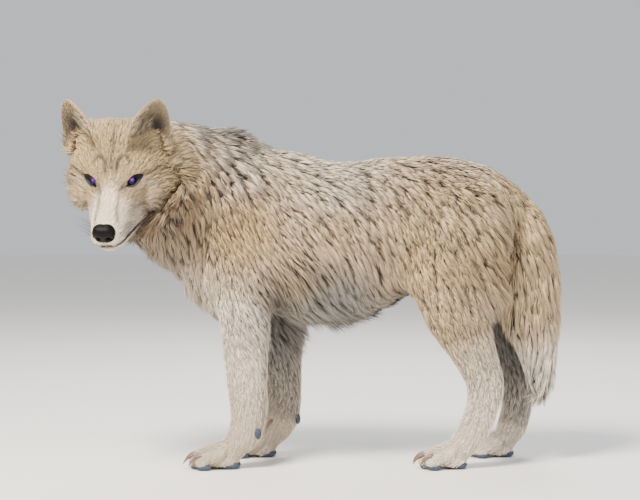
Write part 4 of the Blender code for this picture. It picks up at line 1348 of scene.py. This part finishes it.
pads = {
    "toe": (0.0185, 0.0128, 0.0100),
    "heel": (0.0300, 0.0310, 0.0135),
    "lobe": (0.0160, 0.0140, 0.0100),
    "carpal": (0.0065, 0.0095, 0.0140),
    # how the small pad on the back of each wrist is found: its height, and its way out of the leg
    "wrist": {"left": (0.088, (0.86, -0.50, 0)), "right": (0.098, (0.97, -0.22, 0))},
}


def padMasses():
    yield (-0.012, 0, 0.0095), pads["heel"], 0
    for across in (-0.016, 0.016):
        yield (-0.022, across, 0.0095), pads["lobe"], 0
    for across, reach in toes:
        yield (reach + 0.0065, across * 1.06, 0.0078), pads["toe"], 0


def makePads():
    whole = onEachPaw(padMasses, 0.0016, 4, (24, 16))
    for name, (height, way) in pads["wrist"].items():
        at, _ = pawPlace("fore_paw_" + name)
        way = Vector(way).normalized()
        hit = skinTree.ray_cast(Vector((at.x + 0.044, at.y, height)), way, 0.1)
        turn = way.to_track_quat("X", "Z").to_matrix().to_4x4()
        addBall(whole, Matrix.Translation(hit[0] + way * 0.0042) @ turn, pads["carpal"])
    return keptAbove(newObject("paw_pads", whole), 0)


def hornMaterial():
    material, tree, shader = newMaterial("claw horn")            # worn keratin with streaks along it
    streaks = addNode(tree, "ShaderNodeMapping", {"Vector": ownPlace(tree), "Scale": (60, 900, 500)})
    grain = addNode(tree, "ShaderNodeTexNoise", {"Vector": streaks.outputs[0], "Scale": 1.0, "Detail": 3.0})
    grain = grain.outputs[0]
    relief = addNode(tree, "ShaderNodeBump", {"Height": grain, "Strength": 0.3, "Distance": 0.0004})
    shade = colourRamp(tree, grain, ((0.30, toLinear("#4c3a33")), (0.70, toLinear("#8d7466"))))
    setInputs(tree, shader, {"Roughness": 0.38, "Base Color": shade, "Normal": relief.outputs[0]})
    return material


def lidMaterial():
    material, tree, shader = newMaterial("lid skin")             # bare and dark, with a painted bluish highlight along the lower lid
    shade = blended(tree, attributeOf(tree, "lowerLid"), toLinear("#0d0b10"), toLinear("#2b323e"))
    setInputs(tree, shader, {"Roughness": 0.58, "Specular IOR Level": 0.18, "Base Color": shade})
    return material


wetEye = eyeMaterial()
lidLeather = lidMaterial()
noseLeather = leatherMaterial("nose leather", "#080707", 0.46, 1.3, 0.0005)
padLeather = leatherMaterial("pad leather", "#4c5563", 0.62, 1.8, 0.0006)
for side, name in sides:
    finishPiece(makeEye(side, name), wetEye, "eye_wet", "eye_" + name)
    finishPiece(makeLids(side, name), lidLeather, "nose_leather")
finishPiece(makeNose(), noseLeather, "nose_leather", "nose")
finishPiece(makeLips(), lidLeather, "nose_leather")
finishPiece(makeClaws(), hornMaterial(), "claw_horn", *wolf["hornNodes"])
finishPiece(makePads(), padLeather, "nose_leather")
say("eyes, nose, lips, claws and pads")


tuft = {
    "rings": ((0.0, 0.42), (0.42, 1.0)),      # share of the length, share of the half width
    "ridge": 0.75,                            # height of the ridge against the half width
}


def makeTuft():
    bm = bmesh.new()
    rings = [[bm.verts.new((-wide, along, 0)), bm.verts.new((wide, along, 0)),
              bm.verts.new((0, along, wide * tuft["ridge"]))] for along, wide in tuft["rings"]]
    tip = bm.verts.new((0, 1, 0))
    bm.faces.new(rings[0])
    joinRows(bm, rings)
    for k in range(3):
        bm.faces.new((rings[-1][k], rings[-1][(k + 1) % 3], tip))
    bmesh.ops.triangulate(bm, faces=bm.faces)
    made = newObject("tuft", bm)
    storeOn(made.data, "blade", "FLOAT_VECTOR", readPoints(made.data))
    return made


def coatTree():
    numbers = ("Tuft spacing", "Lock spacing", "Gather", "Stretch", "Swing", "Uneven", "Width", "Cling")
    tree, keys, given = newTree("combed coat", {
        "Geometry": "Geometry", "Tuft": "Object", "Skin": "Object", "Coat": "Material",
        **dict.fromkeys(numbers, "Float"), "Seed": "Int"})
    vectors = ("rootAt", "reach", "curve", "inward", "outward", "lie", "blade", "unwrap")
    numberOnly = ("standOut", "lift", "hold", "wide", "hairLength", "room", "amount", "flare")

    def node(kind, inputs={}, output=0, **settings):
        return addNode(tree, kind, inputs, **settings).outputs[output]

    def chained(operation):          # a function of two or more values, worked from left to right
        def chain(first, *others):
            for other in others:
                first = calc(tree, operation, first, other)
            return first
        return chain

    times, plus, minus, least = (chained(kind) for kind in ("MULTIPLY", "ADD", "SUBTRACT", "MINIMUM"))

    def vector(operation, *values, **more):
        output = "Value" if operation in ("DOT_PRODUCT", "LENGTH") else "Vector"
        return node("ShaderNodeVectorMath", {**dict(enumerate(values)), **more}, output, operation=operation)

    def moved(spot, *steps):         # a point moved along each direction by its number
        for way, much in steps:
            spot = vector("ADD", spot, vector("SCALE", way, Scale=much))
        return spot

    def kindOfField(name):
        return "FLOAT_VECTOR" if name in vectors else "FLOAT"

    def named(name):
        return node("GeometryNodeInputNamedAttribute", {"Name": name}, data_type=kindOfField(name))

    def changed(geometry, kind, **inputs):
        return node("GeometryNode" + kind, {"Geometry": geometry, **inputs})

    def scatter(spacing, seed):
        density = calc(tree, "DIVIDE", 2.2, times(spacing, spacing))
        return node("GeometryNodeDistributePointsOnFaces",
                    {"Mesh": given["Geometry"], "Distance Min": spacing, "Density Max": density,
                     "Density Factor": named("amount"), "Seed": seed}, "Points", distribute_method="POISSON")

    def chance(low, high, seed):
        return node("FunctionNodeRandomValue", {"Seed": seed, 2: low, 3: high}, 1, data_type="FLOAT")

    # roots of the tufts, and middles of the locks that they gather into
    roots = scatter(given["Tuft spacing"], given["Seed"])
    locks = scatter(given["Lock spacing"], plus(given["Seed"], 1))
    here = node("GeometryNodeInputPosition")
    out, lie, long = named("outward"), named("lie"), named("hairLength")
    astray = times(given["Lock spacing"], given["Stretch"], chance(-1.0, 1.0, 5))
    nearest = node("GeometryNodeSampleNearest",
                   {"Geometry": locks, "Sample Position": moved(here, (lie, astray))})

    def ofLock(value):
        return node("GeometryNodeSampleIndex", {"Geometry": locks, "Value": value, "Index": nearest},
                    data_type="FLOAT_VECTOR")

    anyWay = node("FunctionNodeRandomValue", {"Seed": 7, 0: (-1, -1, -1), 1: (1, 1, 1)},
                  data_type="FLOAT_VECTOR")
    lockChance = addNode(tree, "ShaderNodeSeparateXYZ", {0: ofLock(anyWay)}).outputs
    side = vector("NORMALIZE", vector("CROSS_PRODUCT", out, lie))
    ownSwing = times(chance(-1.0, 1.0, 11), times(given["Swing"], 0.35))
    swing = plus(times(lockChance[0], given["Swing"]), ownSwing)
    toLock = vector("SUBTRACT", ofLock(here), here)
    sideways = vector("SCALE", side, Scale=vector("DOT_PRODUCT", toLock, side))
    reach = times(long, plus(1.0, times(lockChance[1], given["Uneven"])), chance(0.88, 1.10, 13))
    reach = plus(reach, times(vector("DOT_PRODUCT", toLock, lie), given["Gather"]))
    reach = calc(tree, "MAXIMUM", reach, times(long, 0.45))
    offCentre = calc(tree, "DIVIDE", vector("LENGTH", sideways), times(given["Lock spacing"], 0.6))
    offCentre = least(offCentre, 1.0)
    crown = minus(1.0, times(offCentre, offCentre, 0.26))
    lift = times(named("room"), crown, chance(0.86, 1.04, 17), plus(0.97, times(lockChance[2], 0.10)))
    short = times(minus(0.030, long), 30.0)
    wide = plus(0.0007, times(calc(tree, "SQRT", long), 0.0062))
    stored = {
        "rootAt": here, "reach": vector("SCALE", lie, Scale=reach),
        "curve": vector("SCALE", side, Scale=times(swing, reach)),
        "standOut": times(named("flare"), reach, plus(chance(0.6, 1.0, 29), times(lockChance[2], 0.6))),
        "inward": vector("SCALE", sideways, Scale=given["Gather"]), "lift": lift,
        "hold": times(given["Cling"], plus(times(least(named("flare"), 1.0), -0.85), 1.0)),
        "short": least(calc(tree, "MAXIMUM", short, 0.0), 0.65),
        # how far the tuft sits from the middle of its lock, less for short hair: the coat turns it into
        # painted shade at the lock's edges
        "edge": times(offCentre, minus(1.0, times(short, 0.5))),
        "lockTone": lockChance[1], "tuftTone": chance(-1.0, 1.0, 19),
        "wide": times(wide, given["Width"], chance(0.8, 1.25, 23)),
    }
    for name, value in stored.items():
        roots = node("GeometryNodeStoreNamedAttribute", {"Geometry": roots, "Name": name, "Value": value},
                     data_type=kindOfField(name), domain="POINT")
    blade = node("GeometryNodeObjectInfo", {"Object": given["Tuft"]}, "Geometry")
    made = node("GeometryNodeInstanceOnPoints", {"Points": roots, "Instance": blade})
    made = changed(made, "RealizeInstances")

    # each vertex goes out along its tuft, in towards the lock's middle, and off the skin
    aside, t, above = addNode(tree, "ShaderNodeSeparateXYZ", {0: named("blade")}).outputs
    flat = moved(named("rootAt"), (named("reach"), t), (named("inward"), calc(tree, "POWER", t, 1.3)),
                 (named("curve"), times(t, t)))
    skinMesh = node("GeometryNodeObjectInfo", {"Object": given["Skin"]}, "Geometry")

    def heldTo(own, skinField):      # between a tuft's own value and the skin's under the vertex, by "hold"
        under = node("GeometryNodeSampleNearestSurface", {"Mesh": skinMesh, "Value": skinField,
                                                          "Sample Position": flat}, data_type="FLOAT_VECTOR")
        return node("ShaderNodeMix", {0: named("hold"), 4: own, 5: under}, 1, data_type="VECTOR")

    foot = heldTo(flat, node("GeometryNodeInputPosition"))
    away = vector("NORMALIZE", heldTo(named("outward"), named("outward")))
    rise = minus(1.0, calc(tree, "POWER", minus(1.0, least(times(t, 1.35), 1.0)), 2.0))
    height = plus(times(named("lift"), rise), times(named("standOut"), times(t, t)),
                  times(above, named("wide")))
    across = vector("NORMALIZE", vector("CROSS_PRODUCT", named("reach"), away))
    spot = moved(foot, (away, height), (across, times(aside, named("wide"))))
    spot = vector("MAXIMUM", spot, (-9.0, -9.0, 0.0006))            # nothing goes through the floor
    made = changed(made, "SetPosition", Position=spot)

    # the bake map: a small patch for each tuft at its root's place on the skin's unwrap
    patch = node("ShaderNodeCombineXYZ", {0: times(aside, 0.0015), 1: times(t, 0.003)})
    made = node("GeometryNodeStoreNamedAttribute", {"Geometry": made, "Name": "OFBake",
                                                    "Value": vector("ADD", named("unwrap"), patch)},
                data_type="FLOAT2", domain="CORNER")
    for name in (*vectors, *numberOnly):
        if name != "blade":
            made = changed(made, "RemoveAttribute", Name=name)
    made = changed(changed(made, "SetShadeSmooth"), "SetMaterial", Material=given["Coat"])
    addNode(tree, "NodeGroupOutput", {0: made})
    return tree, keys


def furMaterial():
    material, tree, shader = newMaterial("guard hair")           # dry keratin, with a soft broken gleam, and painted shade at the roots and the edges of the locks
    along = addNode(tree, "ShaderNodeSeparateXYZ", {0: attributeOf(tree, "blade", "Vector")}).outputs[1]
    # painted shade down each tuft: dark at the root, where the locks overlap, and a little above full colour
    # at the tip
    rootShadeRamp = colourRamp(tree, along, ((0.0, (0.33, 0.28, 0.235, 1)), (0.30, (0.74, 0.70, 0.655, 1)),
                                         (0.66, (1.06, 1.06, 1.06, 1))))
    # painted shade towards the edges of each lock; lockTone and tuftTone vary the tone at random
    tone = calc(tree, "MULTIPLY_ADD", calc(tree, "POWER", attributeOf(tree, "edge"), 2.0), -0.58, 1.14)
    tone = calc(tree, "MULTIPLY_ADD", attributeOf(tree, "lockTone"), 0.12, tone)
    tone = calc(tree, "MULTIPLY_ADD", attributeOf(tree, "tuftTone"), 0.13, tone)
    # short hair is nearly even in colour, with little painted shade at the root
    rootShaded = blended(tree, attributeOf(tree, "short"), rootShadeRamp, (1.05, 0.99, 0.925, 1))
    body = blended(tree, 1.0, attributeOf(tree, "coatShade", "Color"), rootShaded, "MULTIPLY")
    setInputs(tree, shader, {"Roughness": 0.62, "IOR": 1.55, "Specular IOR Level": 0.28, "Sheen Weight": 0.12,
                             "Sheen Roughness": 0.5, "Base Color": dimmed(tree, body, tone)})
    return material


def skinMaterial():
    material, tree, shader = newMaterial("underwool and hide")   # matt down close to the hide, darker than the coat above it as painted shade in the gaps between the locks
    wool = addNode(tree, "ShaderNodeTexNoise", {"Vector": ownPlace(tree), "Scale": 420.0, "Detail": 3.0})
    tone = calc(tree, "MULTIPLY_ADD", wool.outputs[0], 0.5, 0.48)
    shade = dimmed(tree, attributeOf(tree, "coatShade", "Color"), tone)
    setInputs(tree, shader, {"Roughness": 0.85, "Base Color": shade})
    return material


# spacing of tufts and of locks in metres, and what the piece covers
coatPieces = {
    # nodes that it covers, metres between tufts and between locks, cling, gather, width
    "head": (("head", "lower_jaw"), 0.0019, 0.0065, 0.85, 0.45, 0.56),
    "ears": (("ear",), 0.0022, 0.0060, 0.90, 0.40, 0.60),
    "inner_ears": (("ear",), 0.0021, 0.0065, 0.25, 0.70, 0.70),
    "neck": (("neck",), 0.0018, 0.0125, 0.75, 0.50, 0.94),
    "trunk": (("trunk",), 0.0029, 0.0140, 0.85, 0.50, 0.94),
    "thighs": (("thigh",), 0.0028, 0.0130, 0.85, 0.50, 0.94),
    "forelegs": (("upper_foreleg",), 0.0028, 0.0085, 0.85, 0.50, 0.94),
    "forefeet": (("lower_foreleg", "fore_paw"), 0.0028, 0.0075, 0.90, 0.40, 0.62),
    "hindfeet": (("shank", "hind_paw"), 0.0028, 0.0080, 0.90, 0.45, 0.64),
    "tail": (("tail",), 0.00205, 0.0105, 0.12, 0.26, 0.94),
}

halved = ("head", "neck", "trunk")   # made as two pieces, since one would have too many triangles
look = {"Stretch": 1.3, "Swing": 0.17, "Uneven": 0.34}
coatSeed = 40




def patchOfSkin(name, kinds, side, values):
    corners = readPoints(wolfSkin.data)
    faces = readArray(wolfSkin.data.polygons, "vertices", 3, np.int32)
    mine = np.isin(skinKinds[faces[:, 0]], kinds)
    if side:
        middles = corners[faces].mean(axis=1)
        left = intoHead(middles)[:, 1] > 0 if "head" in kinds else middles[:, 1] < wolf["midPlane"]
        mine &= left == (side > 0)
    used, faces = np.unique(faces[mine], return_inverse=True)
    made = newObject(name, (corners[used].tolist(), faces.reshape(-1, 3).tolist()))
    for key, kind in coatKinds.items():
        storeOn(made.data, key, kind, values[key][used])
    return made


def unwrapPatch(obj):
    for other in bpy.context.selected_objects:
        other.select_set(False)
    bpy.context.view_layer.objects.active = obj
    obj.select_set(True)
    bpy.ops.object.mode_set(mode="EDIT")
    bpy.ops.mesh.select_all(action="SELECT")
    bpy.ops.uv.smart_project(angle_limit=math.radians(70), island_margin=0.004)
    bpy.ops.object.mode_set(mode="OBJECT")
    obj.data.uv_layers[0].name = "unwrap"
    obj.select_set(False)


def makeCoat(part, side, number):
    kinds, tufts, locks, cling, gather, width = coatPieces[part]
    name = "coat_" + part + {1: "_left", 0: "", -1: "_right"}[side]
    obj = patchOfSkin(name, kinds, side, innerCoat if part == "inner_ears" else outerCoat)
    unwrapPatch(obj)
    grown(obj, coatMaker, coatKeys, {
        "Tuft": blade, "Skin": wolfSkin, "Coat": guardHair, "Tuft spacing": tufts, "Lock spacing": locks,
        "Gather": gather, "Width": width, "Cling": cling, **look, "Seed": coatSeed + 10 * number})
    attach(obj, "root")
    say(f"{name}: {len(obj.data.polygons)} faces")


def whiskerRoots():                  # points on the skin, each with the way and the length of its whisker
    chance = random.Random(whiskers["seed"])
    roots = []

    def root(spot, way, long, side):
        roots.append((toBody @ mirrorHead(spot, side), toBody.to_3x3() @ mirrorHead(way, side), long))

    for side in (1, -1):
        for back, front, height, count, long in whiskers["rows"]:
            for k in range(count):
                x = back + (front - back) * (k + chance.uniform(-0.15, 0.15)) / (count - 1)
                spot = onSkinFrom((x, 0, height + chance.uniform(-0.001, 0.001)), (0, 1, 0), side)
                way = Vector((-0.55 + chance.uniform(-0.15, 0.15), 0.80, -0.20 + (height + 0.06) * 22))
                reach = long * chance.uniform(0.75, 1.1) * (1 - 0.35 * k / count)
                root(spot - Vector((0, 0.001, 0)), way, reach, side)
        for spot in whiskers["brow"]:
            spot = onSkinFrom((spot[0], spot[1], -0.01), (0.2, 0.1, 1), side)
            root(spot, Vector((-0.35, 0.35, 0.80)), 0.028 * chance.uniform(0.8, 1.2), side)
    places, ways, lengths = zip(*roots)
    made = newObject("whiskers", (places, []))
    storeOn(made.data, "way", "FLOAT_VECTOR", unit(np.array(ways)))
    storeOn(made.data, "long", "FLOAT", lengths)
    return made


def whiskerTree():
    tree, keys, given = newTree("whiskers", {"Geometry": "Geometry", "Hair": "Object", "Horn": "Material",
                                             "Seed": "Int"})

    def node(kind, inputs, output=0, **settings):
        return addNode(tree, kind, inputs, **settings).outputs[output]

    way = node("GeometryNodeInputNamedAttribute", {"Name": "way"}, data_type="FLOAT_VECTOR")
    long = node("GeometryNodeInputNamedAttribute", {"Name": "long"}, data_type="FLOAT")
    roll = node("FunctionNodeRandomValue", {"Seed": given["Seed"], 3: 6.28}, 1, data_type="FLOAT")
    turned = node("FunctionNodeRotateRotation", {
        "Rotation": node("FunctionNodeAlignRotationToVector", {"Vector": way}, axis="Z"),
        "Rotate By": node("FunctionNodeAxisAngleToRotation", {"Axis": (0, 0, 1), "Angle": roll})},
        rotation_space="LOCAL")
    hair = node("GeometryNodeObjectInfo", {"Object": given["Hair"]}, "Geometry")
    made = node("GeometryNodeInstanceOnPoints", {
        "Points": given["Geometry"], "Instance": hair, "Rotation": turned,
        "Scale": node("ShaderNodeCombineXYZ", {0: long, 1: long, 2: long})})
    made = node("GeometryNodeRealizeInstances", {"Geometry": made})
    made = node("GeometryNodeSetMaterial", {"Geometry": made, "Material": given["Horn"]})
    addNode(tree, "NodeGroupOutput", {0: made})
    return tree, keys


def makeWhiskers(material):
    bm = bmesh.new()
    line = [Vector((0, whiskers["bend"] * t * t, t)) for t in np.linspace(0, 1, 7)]
    addTube(bm, line, [1 - 0.92 * k / 6 for k in range(7)], 4)
    for v in bm.verts:                             # the radii above are shares of the thickness
        t = min(max(v.co.z, 0), 1)
        middle = Vector((0, whiskers["bend"] * t * t, v.co.z))
        v.co = middle + (v.co - middle) * whiskers["thick"] / 0.045
    hair = newObject("whisker", bm)
    obj = grown(whiskerRoots(), *whiskerTree(), {"Hair": hair, "Horn": material, "Seed": whiskers["seed"]})
    bpy.data.objects.remove(hair)
    obj.data.shade_smooth()
    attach(obj, "root")
    say(f"whiskers: {len(obj.data.polygons)} faces")


# stiff dark hair
makeWhiskers(newMaterial("whisker", **{"Roughness": 0.45, "Base Color": toLinear("#2b2522")})[0])
guardHair = furMaterial()
wolfSkin.data.materials.clear()
wolfSkin.data.materials.append(skinMaterial())
blade = makeTuft()
coatMaker, coatKeys = coatTree()
order = [(part, side) for part in coatPieces for side in ((1, -1) if part in halved else (0,))]
for number, (part, side) in enumerate(order):
    makeCoat(part, side, number)
bpy.data.objects.remove(blade)

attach(wolfSkin, "root")
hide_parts(*wolf["furNodes"])
